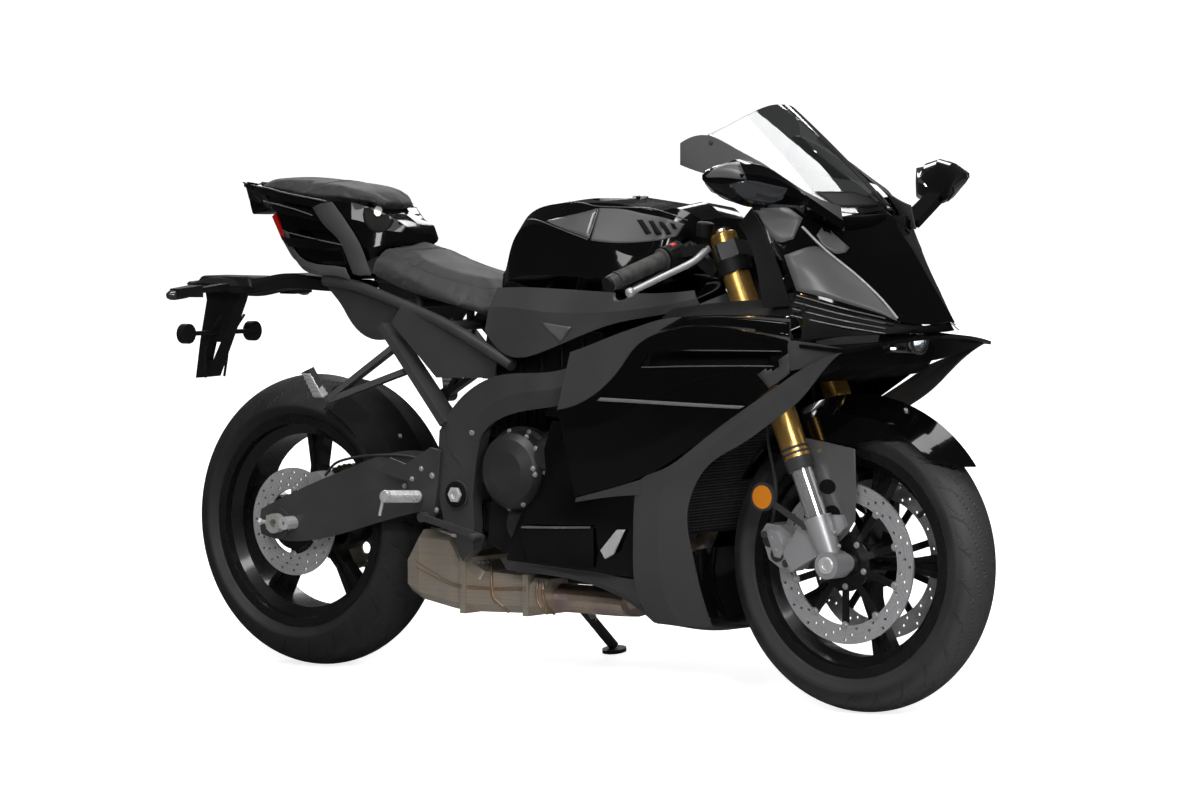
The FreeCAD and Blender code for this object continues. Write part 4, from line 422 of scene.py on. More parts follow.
def glassMaterial(name, colour, roughness=0.02, transmission=1.0, glow=(0, 0, 0), glowStrength=0.0):
    # Clear or dyed plastic with faint wiping marks in its roughness.
    material, tree, shader, place = newMaterial(name)
    grain = groupNode(tree, "grain", {"Vector": place, "Scale": 260.0, "Coarse Share": 0.5})
    setInputs(tree, shader, {
        "Roughness": ranged(tree, grain.outputs["Height"], roughness, roughness * 3),
        "Base Color": blendColour(tree, grain.outputs["Mask"], tuple(c * 0.95 for c in colour), colour),
        "Transmission Weight": transmission, "IOR": 1.49, "Coat Weight": 0.3,
        "Emission Color": (*glow, 1.0), "Emission Strength": glowStrength})
    bump(tree, shader, grain.outputs["Mask"], 0.00004)
    return material


finish = {
    "gloss": paintedMaterial("glossBlackLacquer", (0.0014, 0.0014, 0.0016), 0.09, 2600.0, 0.000003, 0.6, 0.02,
        wear=0.02, dust=0.004, drift=0.2, specular=0.12),
    "matte": paintedMaterial("matteGreyLacquer", (0.043, 0.0432, 0.0435), 0.5, 2400.0, 0.00002, 0.0,
        metallic=0.15, wear=0.05, dust=0.015, drift=0.12, specular=0.25),
    "moulded": paintedMaterial("mouldedBlackPlastic", (0.006, 0.006, 0.0062), 0.5, 1300.0, 0.00008, wear=0.06,
        dust=0.01, specular=0.18),
    "frame": paintedMaterial("satinBlackFrame", (0.031, 0.031, 0.0313), 0.44, 1700.0, 0.00003, 0.1, 0.3,
        wear=0.12, dust=0.015, specular=0.3),
    "engine": paintedMaterial("castBlackEngine", (0.009, 0.009, 0.0092), 0.46, 620.0, 0.00012, metallic=0.3,
        wear=0.25, wearColour=(0.2, 0.2, 0.2), dust=0.02, specular=0.3),
    "cover": paintedMaterial("engineCoverBlack", (0.03, 0.03, 0.0308), 0.4, 900.0, 0.00007, metallic=0.4,
        wear=0.3, wearColour=(0.26, 0.26, 0.26), dust=0.02, specular=0.4),
    "rim": paintedMaterial("rimBlackLacquer", (0.005, 0.005, 0.0055), 0.26, 1900.0, 0.00002, 0.6, 0.1,
        wear=0.12, dust=0.02, specular=0.25),
    "castGrey": metalMaterial("castAluminium", (0.38, 0.38, 0.39), 0.38, 520.0, 0.00008, wear=0.5),
    "billet": metalMaterial("machinedAluminium", (0.66, 0.66, 0.67), 0.26, 900.0, 0.00003, brushAxis="X"),
    "steel": metalMaterial("plainSteel", (0.5, 0.49, 0.47), 0.3, 900.0, 0.00003, stain=(0.3, 0.25, 0.2)),
    "bolt": metalMaterial("zincBolt", (0.42, 0.42, 0.41), 0.32, 1200.0, 0.00003, stain=(0.3, 0.28, 0.24)),
    "chrome": metalMaterial("hardChrome", (0.82, 0.82, 0.83), 0.07, 1600.0, 0.000004, wear=0.0, dust=0.03,
        metallic=0.85),
    "gold": metalMaterial("goldAnodising", (0.75, 0.45, 0.13), 0.26, 1500.0, 0.00001, wear=0.3, dust=0.04,
        metallic=0.85),
    "titan": metalMaterial("heatedHeader", (0.42, 0.33, 0.25), 0.3, 800.0, 0.00003, stain=(0.2, 0.14, 0.2),
        stainAmount=0.7),
    "muffler": metalMaterial("satinStainless", (0.36, 0.32, 0.27), 0.3, 900.0, 0.00003, brushAxis="Z",
        stain=(0.40, 0.29, 0.19), stainAmount=0.5),
    "chain": metalMaterial("oiledChain", (0.30, 0.27, 0.22), 0.36, 800.0, 0.00004, stain=(0.08, 0.06, 0.04),
        stainAmount=0.6),
    "frontDisc": metalMaterial("groundFrontDisc", (0.48, 0.48, 0.49), 0.24, 900.0, 0.00003, brushAxis="round",
        brushCentre=bikeFacts["frontAxle"]),
    "rearDisc": metalMaterial("groundRearDisc", (0.48, 0.48, 0.49), 0.24, 900.0, 0.00003, brushAxis="round",
        brushCentre=bikeFacts["rearAxle"]),
    "screen": glassMaterial("clearScreen", (0.93, 0.95, 0.96), 0.01),
    "lens": glassMaterial("clearLens", (0.95, 0.95, 0.95), 0.02),
    # The amber lens glows faintly though the reflector is no lamp: painted light.
    "amber": glassMaterial("amberLensPaintedGlow", (0.95, 0.32, 0.02), 0.06, 0.55, glow=(1.0, 0.3, 0.02),
        glowStrength=0.12),
    "red": glassMaterial("redLens", (0.6, 0.012, 0.01), 0.05, 0.5, glow=(1.0, 0.02, 0.01), glowStrength=0.05),
    "white": glassMaterial("lampWhite", (0.9, 0.92, 0.95), 0.1, 0.2, glow=(0.9, 0.95, 1.0), glowStrength=0.9),
    "mirrorGlass": metalMaterial("mirrorSilver", (0.9, 0.9, 0.91), 0.02, 400.0, 0.000002, wear=0.0, dust=0.02,
        metallic=1.0),
    "grip": paintedMaterial("gripRubber", (0.012, 0.012, 0.012), 0.75, 1500.0, 0.0001, wear=0.2, dust=0.15),
    # The darkest black is painted shade: sheets closing openings, patches in recesses and hollows, and the
    # hugger, all set darker than the moulded black.
    "paintedShade": paintedMaterial("paintedShadeBlack", (0.004, 0.004, 0.004), 0.7, 1100.0, 0.00006, wear=0.0, dust=0.02,
        specular=0.1),
    # Polished black trim, also used for painted highlights along edges and creases.
    "edge": paintedMaterial("blackTrimAndPaintedHighlight", (0.07, 0.07, 0.072), 0.24, 2000.0, 0.000006, 0.8, 0.05,
        wear=0.05, dust=0.02, specular=0.4),
    # Satin grey: a real finish on some parts, and a painted reflection on the nose's cheeks and the tank's
    # facet.
    "satinAndReflection": paintedMaterial("satinGreyAndPaintedReflection", (0.075, 0.075, 0.076), 0.42, 2200.0, 0.00001, 0.3, 0.25,
        wear=0.05, dust=0.01, drift=0.1, specular=0.3),
    "stripe": paintedMaterial("greySideStripe", (0.12, 0.12, 0.122), 0.34, 2200.0, 0.00001, 0.5, 0.1, wear=0.05,
        dust=0.02, drift=0.1, specular=0.3),
    # The pale grey is a painted highlight along the nose's crest.
    "pale": paintedMaterial("paintedCrestHighlight", (0.30, 0.30, 0.305), 0.3, 2200.0, 0.00001, 0.6, 0.1, wear=0.05,
        dust=0.02, drift=0.1, specular=0.4),
    "smoke": paintedMaterial("smokedLens", (0.02, 0.021, 0.023), 0.1, 2600.0, 0.000004, 0.9, 0.03, wear=0.02,
        dust=0.02, specular=0.5),
    "weld": metalMaterial("heatedWeld", (0.26, 0.19, 0.13), 0.32, 700.0, 0.00005, stain=(0.25, 0.14, 0.08),
        stainAmount=0.8),
    "redSwitch": paintedMaterial("redSwitchPlastic", (0.5, 0.02, 0.015), 0.4, 1500.0, 0.00003, wear=0.1),
}


def makeSeatLeather():
    # Grained seat cover: small pebbles with creases between them, worn a little on top.
    material, tree, shader, place = newMaterial("grainedSeatCover")
    pebbles = addNode(tree, "ShaderNodeTexVoronoi", {"feature": "DISTANCE_TO_EDGE"},
                      {"Vector": place, "Scale": 620.0})
    grain = groupNode(tree, "grain", {"Vector": place, "Scale": 1800.0, "Coarse Share": 0.3})
    film = groupNode(tree, "dust", {"Vector": place, "Amount": 0.2}).outputs["Dust"]
    crease = ranged(tree, pebbles.outputs["Distance"], 0.0, 1.0, 0.0, 0.22)
    # The creases between the pebbles are painted darker than their tops: painted shade in the creases.
    base = blendColour(tree, crease, (0.004, 0.004, 0.004), (0.011, 0.011, 0.0115))
    base = blendColour(tree, grain.outputs["Mask"], base, (0.016, 0.016, 0.0165))
    setInputs(tree, shader, {"Base Color": blendColour(tree, film, base, (0.07, 0.067, 0.064)),
                             "Roughness": ranged(tree, grain.outputs["Mask"], 0.5, 0.68), "Sheen Weight": 0.12})
    first = bump(tree, shader, crease, 0.00022, 0.8)
    bump(tree, shader, grain.outputs["Height"], 0.00004, 1.0, first)
    return material


def makeTyreRubber(centre, radius, name, tone):
    # Rubber whose tread is scrubbed paler than the smooth dark sidewall with its fine ribs; the tread's tone
    # differs between the tyres as painted light on the front and painted shade on the rear.
    material, tree, shader, place = newMaterial(name)
    far = fromAxle(tree, place, centre)
    tread = ranged(tree, far, 0.0, 1.0, (radius - 34) / 1000, (radius - 22) / 1000)
    grain = groupNode(tree, "grain", {"Vector": place, "Scale": 1400.0, "Coarse Share": 0.25})
    film = groupNode(tree, "dust", {"Vector": place, "Amount": 0.25}).outputs["Dust"]
    base = blendColour(tree, tread, (0.006, 0.006, 0.006), (tone, tone * 0.985, tone * 0.965))
    base = blendColour(tree, grain.outputs["Mask"], base, (tone * 0.8, tone * 0.8, tone * 0.78))
    setInputs(tree, shader, {"Base Color": blendColour(tree, film, base, (0.05, 0.048, 0.046)),
                             "Roughness": ranged(tree, grain.outputs["Mask"], 0.55, 0.78)})
    sidewall = mathNode(tree, "MULTIPLY", mathNode(tree, "SUBTRACT", 1.0, tread),
                        lineNoise(tree, far, 700.0, 1.0))
    first = bump(tree, shader, sidewall, 0.0003, 0.8)
    bump(tree, shader, grain.outputs["Height"], 0.00008, 1.0, first)
    return material


finish["seat"] = makeSeatLeather()
# The front tyre's paler tread tone is painted light and the rear's darker one painted shade.
finish["frontTyre"] = makeTyreRubber(bikeFacts["frontAxle"], 300, "frontTyreRubber", 0.034)
finish["rearTyre"] = makeTyreRubber(bikeFacts["rearAxle"], 315, "rearTyreRubber", 0.0125)
print("materials made:", len(finish))


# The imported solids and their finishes

nodeFinish = {
    "gloss": ["fuel_tank", "side_fairings", "upper_cowl", "tail_cowl", "mirrors", "winglets",
              "front_fender"],
    "matte": ["fairing_bands", "lower_fairings", "belly_pan", "tank_side_covers", "screen_garnish"],
    # The hugger gets the darkest black: painted shade, darker than its moulded black.
    "paintedShade": ["rear_hugger"],
    "moulded": ["cockpit_panel", "plate_holder", "cheek_flanges",
                "handlebars", "hand_controls", "fairing_stay", "fairing_brackets", "radiator"],
    "frame": ["main_frame", "subframe", "swingarm", "rear_shock", "side_stand", "footrests", "yokes",
              "passenger_footrests", "side_reflectors"],
    "engine": ["engine_block"],
    "cover": ["engine_covers"],
    "rim": ["front_rim", "rear_rim"],
    "castGrey": ["fork_feet", "front_calipers", "rear_caliper"],
    "billet": ["paddock_bosses", "fuel_cap"],
    "steel": ["front_axle", "rear_axle"],
    "gold": ["fork_outer_tubes"],
    "chrome": ["fork_inner_tubes"],
    "titan": ["exhaust_headers"],
    "muffler": ["silencer"],
    "chain": ["drive_chain", "rear_sprocket"],
    "frontDisc": ["front_discs"],
    "rearDisc": ["rear_disc"],
    "screen": ["windscreen"],
    "lens": ["headlamps"],
    "red": ["tail_light"],
    "seat": ["rider_seat", "passenger_seat"],
    "frontTyre": ["front_tyre"],
    "rearTyre": ["rear_tyre"],
}
for finishName, nodeNames in nodeFinish.items():
    for nodeName in nodeNames:
        dressed = frame["nodes"][nodeName]
        for cell in dressed.material_slots:
            cell.material = finish[finishName]
missing = set(frame["nodes"]) - {n for names in nodeFinish.values() for n in names}
print("solids dressed, without a finish:", sorted(missing))


# Tyres: a turned body whose tread has real grooves

tyreSizes = {
    "front": {"centre": bikeFacts["frontAxle"], "radius": 300, "half": 60, "crown": 62, "rimHalf": 44.5,
              "pitches": 26, "node": "front_tyre", "body": "front_wheel", "finish": "frontTyre"},
    "rear": {"centre": bikeFacts["rearAxle"], "radius": 315, "half": 90, "crown": 93, "rimHalf": 70,
             "pitches": 24, "node": "rear_tyre", "body": "rear_wheel", "finish": "rearTyre"},
    "bead": 215.9, "flange": 13, "around": 1080, "across": 58, "grooveDepth": 4.2, "grooveWidth": 5.0,
    "shoulderDrop": 1.5, "wallSteps": 12, "bulge": 2.2, "groovesCurve": 0.18, "ribs": {3: 0.5, 4: 0.5, 10: 0.9},
}
# Each groove is a swept curve: where it starts and ends across the tread, its offset, rake, curve and width.
treadGrooves = ((0.10, 0.66, 0.0, 0.42, 0.5, 1.0), (0.42, 0.93, 0.52, 0.22, -0.35, 0.85),
                (0.70, 0.97, 0.05, 0.15, 0.1, 0.6))


def grooveDepthAt(share, side, facts, turn):
    # How deep the tread is cut at a share of the way from the crown to the shoulder, 0 to 1.
    pitch = 2 * math.pi / facts["pitches"]
    deepest = 0.0
    for start, end, offset, rake, curve, width in treadGrooves:
        if share < start - 0.03 or share > end + 0.03:
            continue
        along = (share - start) / (end - start)
        middle = offset * pitch + (0.5 * pitch if side < 0 else 0.0) + rake * along
        middle += curve * tyreSizes["groovesCurve"] * along * along
        gap = (turn - middle + pitch / 2) % pitch - pitch / 2
        reach = tyreSizes["grooveWidth"] * width * (1.0 - 0.45 * abs(2 * along - 1)) / 2
        away = abs(gap) * facts["radius"]
        if away < reach:
            edge = min(1.0, (reach - away) / 0.9)
            ends = max(0.0, min(1.0, (along + 0.06) * 9, (1.06 - along) * 9))
            deepest = max(deepest, edge * ends)
    return deepest * tyreSizes["grooveDepth"]


def makeTyre(key):
    facts = tyreSizes[key]
    centre = Vector(facts["centre"])
    crown = facts["crown"]
    shoulder = facts["half"] - tyreSizes["shoulderDrop"]
    shoulderR = facts["radius"] - crown + math.sqrt(crown ** 2 - shoulder ** 2)
    flangeR = tyreSizes["bead"] + tyreSizes["flange"]
    top = math.asin(shoulder / crown)
    section = []
    for k in range(tyreSizes["across"] + 1):
        share = -1 + 2 * k / tyreSizes["across"]
        angle = top * share
        section.append((crown * math.sin(angle), facts["radius"] - crown + crown * math.cos(angle), share))
    wall = []
    for k in range(1, tyreSizes["wallSteps"] + 1):
        t = k / tyreSizes["wallSteps"]
        bulge = math.sin(math.pi * (0.15 + 0.85 * t) * 0.98)
        y = shoulder + (facts["rimHalf"] + 3.5 - shoulder) * t + tyreSizes["bulge"] * bulge
        wall.append((y + tyreSizes["ribs"].get(k, 0), shoulderR + (flangeR + 1 - shoulderR) * t, None))
    bead = [(facts["rimHalf"] + 1, flangeR - 3, None), (facts["rimHalf"] - 8, flangeR - 6, None)]
    outline = [(-y, r, None) for y, r, share in reversed(wall + bead)] + section + wall + bead
    bm = bmesh.new()
    rows = []
    for j in range(tyreSizes["around"]):
        turn = 2 * math.pi * j / tyreSizes["around"]
        row = []
        for y, r, share in outline:
            if share is not None and abs(share) > 0.05:
                r -= grooveDepthAt(abs(share), share, facts, turn)
            row.append(bm.verts.new(centre + Vector((r * math.cos(turn), y, r * math.sin(turn)))))
        rows.append(row)
    count = len(outline)
    for a, b in zip(rows, rows[1:] + rows[:1]):
        for k in range(count):
            bm.faces.new((a[k], a[(k + 1) % count], b[(k + 1) % count], b[k]))
    piece = finishMesh(bm, key + "TyreTread", facts["finish"], facts["body"], 40)
    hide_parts(facts["node"])
    print(piece.name, len(piece.data.polygons), "faces")


for wheelKey in ("front", "rear"):
    makeTyre(wheelKey)


# What repeats: small geometry-node trees

def startTree(name, sockets):
    return startGroup("GeometryNodeTree", name, [("Geometry", "Geometry", None)] + [(label, "Float",
        value) for label, value in sockets.items()], [("Geometry", "Geometry")])


def cylinder(tree, sides, radius, depth, segments=1):
    return addNode(tree, "GeometryNodeMeshCylinder", {}, {"Vertices": sides, "Side Segments": segments,
                                                          "Radius": radius, "Depth": depth}).outputs["Mesh"]


def moved(tree, mesh, offset):
    move = addNode(tree, "ShaderNodeCombineXYZ", {}, offset)
    return addNode(tree, "GeometryNodeTransform", {},
        {"Geometry": mesh, "Translation": move.outputs[0]}).outputs[0]


def joined(tree, parts):
    join = addNode(tree, "GeometryNodeJoinGeometry")
    for part in parts:
        tree.links.new(part, join.inputs[0])
    return join.outputs[0]


def turnedTo(tree, axis="Z", pivot="AUTO", first=None):
    # The rotation that turns an axis to the direction stored on each point.
    facing = addNode(tree, "GeometryNodeInputNamedAttribute", {"data_type": "FLOAT_VECTOR"}, {"Name": "facing"})
    inputs = {"Vector": facing.outputs["Attribute"]}
    if first:
        inputs["Rotation"] = first
    return addNode(tree, "FunctionNodeAlignRotationToVector", {"axis": axis, "pivot_axis": pivot},
                   inputs).outputs[0]


def endTree(tree, source, result, instance, rotation, finishKey):
    # Every tree ends by standing its instance on each point, making it real and giving it its finish.
    stand = addNode(tree, "GeometryNodeInstanceOnPoints", {}, {
        "Points": source.outputs["Geometry"], "Instance": instance, "Rotation": rotation})
    real = addNode(tree, "GeometryNodeRealizeInstances", {}, {"Geometry": stand.outputs[0]})
    painted = addNode(tree, "GeometryNodeSetMaterial", {}, {"Geometry": real.outputs[0],
                                                            "Material": finish[finishKey]})
    tree.links.new(painted.outputs[0], result.inputs[0])


def evaluatedMesh(holder):
    graph = bpy.context.evaluated_depsgraph_get()
    return bpy.data.meshes.new_from_object(holder.evaluated_get(graph), depsgraph=graph)


def bakeTree(name, made, values, body, places, directions, smooth=35):
    # Runs a tree on points, each with the direction it faces, and keeps a plain mesh that rides on a body.
    tree, ids = made
    base = bpy.data.meshes.new(name + "Points")
    base.from_pydata([tuple(p) for p in places], [], [])
    facing = base.attributes.new("facing", "FLOAT_VECTOR", "POINT")
    facing.data.foreach_set("vector", [c for d in directions for c in Vector(d).normalized()])
    holder = linked(name + "Holder", base)
    modifier = holder.modifiers.new("nodes", "NODES")
    modifier.node_group = tree
    for label, value in values.items():
        modifier[ids[label]] = value
    mesh = evaluatedMesh(holder)
    holder.modifiers.remove(modifier)
    bpy.data.objects.remove(holder)
    mesh.name = name
    mesh.transform(parkedMm)
    piece = linked(name, mesh)
    softened(mesh, smooth)
    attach(piece, body)
    return piece


def makeBoltTree(finishKey):
    # A socket-head bolt: washer, rounded head and the hollow hexagon in it.
    tree, source, result, ids = startTree("socketBolts", {"Head Radius": 5.0, "Head Height": 3.5,
                                                          "Washer Radius": 7.5})
    radius = source.outputs["Head Radius"]
    height = source.outputs["Head Height"]
    crown = addNode(tree, "GeometryNodeMeshCone", {}, {
        "Vertices": 20, "Radius Bottom": radius, "Radius Top": mathNode(tree, "MULTIPLY", radius, 0.86),
        "Depth": 0.6})
    hexagon = cylinder(tree, 6, mathNode(tree, "MULTIPLY", radius, 0.52), 2.4)
    top = moved(tree, crown.outputs["Mesh"], {"Z": height})
    hole = moved(tree, hexagon, {"Z": mathNode(tree, "ADD", height, 0.6)})
    hollow = addNode(tree, "GeometryNodeMeshBoolean", {"operation": "DIFFERENCE"}, {"Mesh 1": top})
    tree.links.new(hole, hollow.inputs["Mesh 2"])
    solid = moved(tree, cylinder(tree, 20, radius, height), {"Z": mathNode(tree, "MULTIPLY", height, 0.5)})
    bolt = joined(tree, [cylinder(tree, 24, source.outputs["Washer Radius"], 1.2), solid,
        hollow.outputs["Mesh"]])
    endTree(tree, source, result, bolt, turnedTo(tree), finishKey)
    return tree, ids


boltTrees = {False: makeBoltTree("bolt"), True: makeBoltTree("frame")}


def makeBolts(name, places, direction, radius, body, dark=False, washer=1.45):
    return bakeTree(name, boltTrees[dark], {"Head Radius": radius, "Head Height": radius * 0.7,
                                            "Washer Radius": radius * washer}, body, places,
                    [direction] * len(places), 30)


# Seats: swollen padded forms with a welted seam and stitches

seatSizes = {"inset": 0.003, "voxel": 0.006, "cap": 0.009, "pressure": 4.0, "frames": 20, "stiffness": 40,
             "weltRadius": 1.6, "stitchLength": 3.4, "stitchRadius": 0.55, "stitchGap": 6.0, "stitchAway": 4.5}


def copyOfNode(nodeName, inset):
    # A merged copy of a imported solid, moved inwards along its normals by an inset in metres.
    bm = bmesh.new()
    bm.from_mesh(frame["nodes"][nodeName].data)
    bmesh.ops.remove_doubles(bm, verts=bm.verts, dist=0.00002)
    bm.normal_update()
    for v in bm.verts:
        v.co -= v.normal * inset
    mesh = bpy.data.meshes.new(nodeName + "Copy")
    bm.to_mesh(mesh)
    bm.free()
    return mesh


def padOf(nodeName, name, low):
    # Remeshes the solid, lets it swell under pressure with its underside pinned, and smooths it once.
    holder = linked(name + "Holder", copyOfNode(nodeName, seatSizes["inset"]))
    remesh = holder.modifiers.new("voxels", "REMESH")
    remesh.mode = "VOXEL"
    remesh.voxel_size = seatSizes["voxel"]
    soften = holder.modifiers.new("soften", "SMOOTH")
    soften.factor = 0.5
    soften.iterations = 6
    mesh = evaluatedMesh(holder)
    bpy.data.objects.remove(holder)
    pad = linked(name, mesh)
    start = [v.co.copy() for v in mesh.vertices]
    group = pad.vertex_groups.new(name="held")
    for v in mesh.vertices:
        upright = unparked @ v.co * 1000
        if upright.z < low(upright.x):
            group.add([v.index], 1.0, "REPLACE")
    cloth = pad.modifiers.new("swell", "CLOTH")
    cloth.settings.use_pressure = True
    cloth.settings.uniform_pressure_force = seatSizes["pressure"]
    cloth.settings.quality = 5
    cloth.settings.effector_weights.gravity = 0.0
    cloth.settings.vertex_group_mass = "held"
    cloth.settings.tension_stiffness = seatSizes["stiffness"]
    cloth.settings.compression_stiffness = seatSizes["stiffness"]
    cloth.point_cache.frame_end = seatSizes["frames"]
    for step in range(1, seatSizes["frames"] + 1):
        bpy.context.scene.frame_set(step)
    swollen = evaluatedMesh(pad)
    pad.modifiers.remove(cloth)
    for v, before, after in zip(mesh.vertices, start, swollen.vertices):
        move = after.co - before
        if move.length > seatSizes["cap"]:
            move *= seatSizes["cap"] / move.length
        v.co = before + move
    bpy.context.scene.frame_set(1)
    finer = pad.modifiers.new("finer", "SUBSURF")
    finer.levels = 1
    finer.render_levels = 1
    pad.data = evaluatedMesh(pad)
    pad.modifiers.remove(finer)
    pad.data.materials.clear()
    pad.data.materials.append(finish["seat"])
    pad.data.polygons.foreach_set("use_smooth", [True] * len(pad.data.polygons))
    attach(pad, "frame")
    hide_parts(nodeName)
    return pad


def onto(piece, point, direction=(0, 0, -1), reach=0.5):
    # The place where a line from a point in the bike's frame meets a piece, and the surface's normal there.
    start = parkedMm @ Vector(point)
    aim = (parkedMm.to_3x3() @ Vector(direction)).normalized()
    hit, place, normal = piece.ray_cast(start, aim, distance=reach)[:3]
    back = parkedMm.inverted()
    return (back @ place, (back.to_3x3() @ normal).normalized()) if hit else None


def makeStitchTree():
    # Stitches: a short thread on every point, laid along the seam.
    tree, source, result, ids = startTree("seatStitches", {"Stitch Length": 3.4, "Thread Radius": 0.5})
    thread = cylinder(tree, 6, source.outputs["Thread Radius"], source.outputs["Stitch Length"], 3)
    endTree(tree, source, result, thread, turnedTo(tree), "grip")
    return tree, ids


stitchTree = makeStitchTree()


def makeSeam(pad, name, starts):
    # A welt laid in the surface along points dropped onto it, with a row of stitches beside it.
    found = [f for f in (onto(pad, p) for p in smoothPath(starts, 10)) if f]
    if len(found) < 4:
        print("no seam for", name)
        return
    bm = bmesh.new()
    tubeAlong(bm, [p - n * seatSizes["weltRadius"] * 0.35 for p, n in found], seatSizes["weltRadius"], 8)
    finishMesh(bm, name + "Welt", "seat", "frame", 60)
    places = []
    facings = []
    travelled = 0.0
    for (p, n), after in zip(found[:-1], found[1:]):
        run = after[0] - p
        while travelled < run.length:
            at = p + run * (travelled / max(run.length, 0.001))
            places.append(at + run.normalized().cross(n) * seatSizes["stitchAway"] + n * 0.2)
            facings.append(run)
            travelled += seatSizes["stitchGap"]
        travelled -= run.length
    bakeTree(name + "Stitches", stitchTree,
        {"Stitch Length": seatSizes["stitchLength"], "Thread Radius": seatSizes["stitchRadius"]}, "frame",
        places, facings)


riderPad = padOf("rider_seat", "riderPad", lambda x: 792 + max(0, 440 - x) * 0.27)
pillionPad = padOf("passenger_seat", "pillionPad", lambda x: 975 if x < 140 else 955)
for s, label in bothSides:
    makeSeam(riderPad, "riderSeam" + label, [(586, s * 66, 980), (520, s * 88, 980), (443, s * 98, 980),
        (360, s * 98, 1010), (300, s * 86, 1040), (250, s * 66, 1040)])
makeSeam(riderPad, "riderCross", [(300, -84, 1040), (318, -40, 1040), (324, 0, 1040), (318, 40, 1040),
                                  (300, 84, 1040)])
makeSeam(pillionPad, "pillionCross", [(70, -74, 1160), (78, -30, 1160), (78, 30, 1160), (70, 74, 1160)])
print("seats made")


# Panels: thin sheets through rails, mirrored to both sides of the bike


def panelPair(name, rails, finishKey, wall=3.0, outward=(0, -1, 0)):
    for s, label in mirrored[True]:
        bm = bmesh.new()
        sheetFaces(bm, [smoothPath([(x, y * s, z) for x, y, z in rail], 5) for rail in rails])
        turnOutward(bm, (outward[0], outward[1] * s, outward[2]))
        piece = finishMesh(bm, name + label, finishKey, "frame", 30, True)
        thickened(piece, wall).modifiers["wall"].use_even_offset = False
        bevelled(piece, 0.6, 2, 50)


lowerPanelRows = [
    [(810, -222, 566), (870, -223, 566), (940, -224, 566), (1010, -224, 566)],
    [(787, -218, 508), (860, -220, 508), (940, -221, 508), (1010, -221, 508)],
    [(790, -216, 468), (860, -213, 468), (940, -214, 468), (1010, -215, 468)],
    [(773, -212, 421), (850, -205, 416), (935, -206, 416), (1012, -207, 416)],
    [(720, -205, 378), (820, -206, 378), (915, -206, 378), (1010, -204, 378)],
    [(686, -195, 324), (790, -196, 324), (900, -197, 324), (1004, -199, 324)],
    [(664, -186, 274), (770, -184, 268), (880, -182, 262), (990, -184, 256)],
]
panelPair("lowerSidePanel", lowerPanelRows, "gloss")
# A dark sheet closes each lower vent's mouth: painted shade in the opening.
panelPair("sideVentMouth", [[(727, -207, 344), (790, -207.5, 346), (860, -208, 350), (904, -208, 352)],
    [(712, -197, 300), (790, -198.5, 300), (860, -199, 300), (900, -200, 300)],
    [(716, -192, 276), (790, -190, 272), (860, -189, 268), (890, -188, 268)]], "paintedShade", wall=2)
panelPair("sideVentLedge", [[(722, -209, 349), (800, -210, 352), (900, -211, 357)],
                            [(722, -212, 345), (800, -213, 348), (900, -213, 353)]], "edge", wall=2)
panelPair("wingCorner", [[(1400, -236, 745), (1450, -238, 742), (1500, -243, 737), (1550, -250, 732)],
                         [(1404, -236, 712), (1450, -238, 716), (1500, -244, 722), (1549, -251, 730)],
                         [(1408, -235, 686), (1450, -237, 694), (1500, -244, 711), (1548, -252, 728)]], "matte")
# A dark liner inside the nose's opening: painted shade.
panelPair("noseLiner", [[(1404, -218, 838), (1470, -173, 812), (1548, -100, 782), (1588, -55, 772),
    (1610, 0, 776)], [(1428, -222, 790), (1490, -180, 782), (1552, -112, 770), (1588, -58, 765),
    (1603, 0, 765)], [(1430, -232, 744), (1482, -192, 752), (1545, -135, 757), (1582, -62, 757),
    (1596, 0, 757)]], "paintedShade", outward=(0.6, -0.8, 0))
panelPair("innerLedge", [[(1100, -240, 782), (1195, -238, 789), (1299, -232, 792), (1396, -220, 792),
                          (1428, -222, 800)],
                         [(1105, -206, 800), (1198, -200, 812), (1290, -198, 820), (1398, -210, 823),
                          (1434, -218, 812)]], "moulded", outward=(0, 0, 1))
panelPair("bellyScoop", [[(1128, -178, 312), (1092, -120, 310), (1068, -60, 309), (1058, 0, 308)],
                         [(1129, -166, 270), (1088, -112, 268), (1062, -56, 266), (1052, 0, 265)],
                         [(1131, -153, 230), (1092, -104, 226), (1066, -52, 222), (1056, 0, 220)],
                         [(1136, -134, 182), (1108, -90, 176), (1090, -44, 170), (1084, 0, 168)]],
          "gloss", outward=(1, 0, 0))
# A dark liner inside each fairing vent: painted shade.
panelPair("fairingVentLiner", [[(1056, -206, 735), (1150, -208, 736), (1280, -208, 737), (1398, -204, 738)],
                               [(1040, -206, 672), (1150, -208, 670), (1280, -208, 670), (1384, -204, 672)]],
          "paintedShade", wall=2)


def makeRods(name, paths, radius, finishKey, body="frame", both=True, sides=8, steps=6):
    # Round trim, rods, hoses and painted highlight lines along smooth paths, on one side or on both.
    for s, label in mirrored[both]:
        bm = bmesh.new()
        for path in paths:
            tubeAlong(bm, smoothPath([(x, y * s, z) for x, y, z in path], steps), radius, sides)
        finishMesh(bm, name + label, finishKey, body, 60)


# Grey rods along the vent's edges are painted highlights.
makeRods("ventEdgeHighlights", [[(1078, -244.5, 717.5), (1180, -243, 720), (1290, -240.5, 722), (1388, -237, 723.5)],
                      [(1056, -245.5, 683), (1160, -244.5, 688), (1280, -241.5, 692), (1370, -238, 694)]],
         1.3, "edge")
makeRods("noseSlats", [[(1412 - 3 * k, -222 - k * 1.5, 832 - 13 * k), (1480 + k * 2, -176 - k * 6,
    809 - 11.5 * k), (1546 + 4 * k, -112 - k * 6, 787 - 9.5 * k)] for k in range(4)], 1.6, "edge")


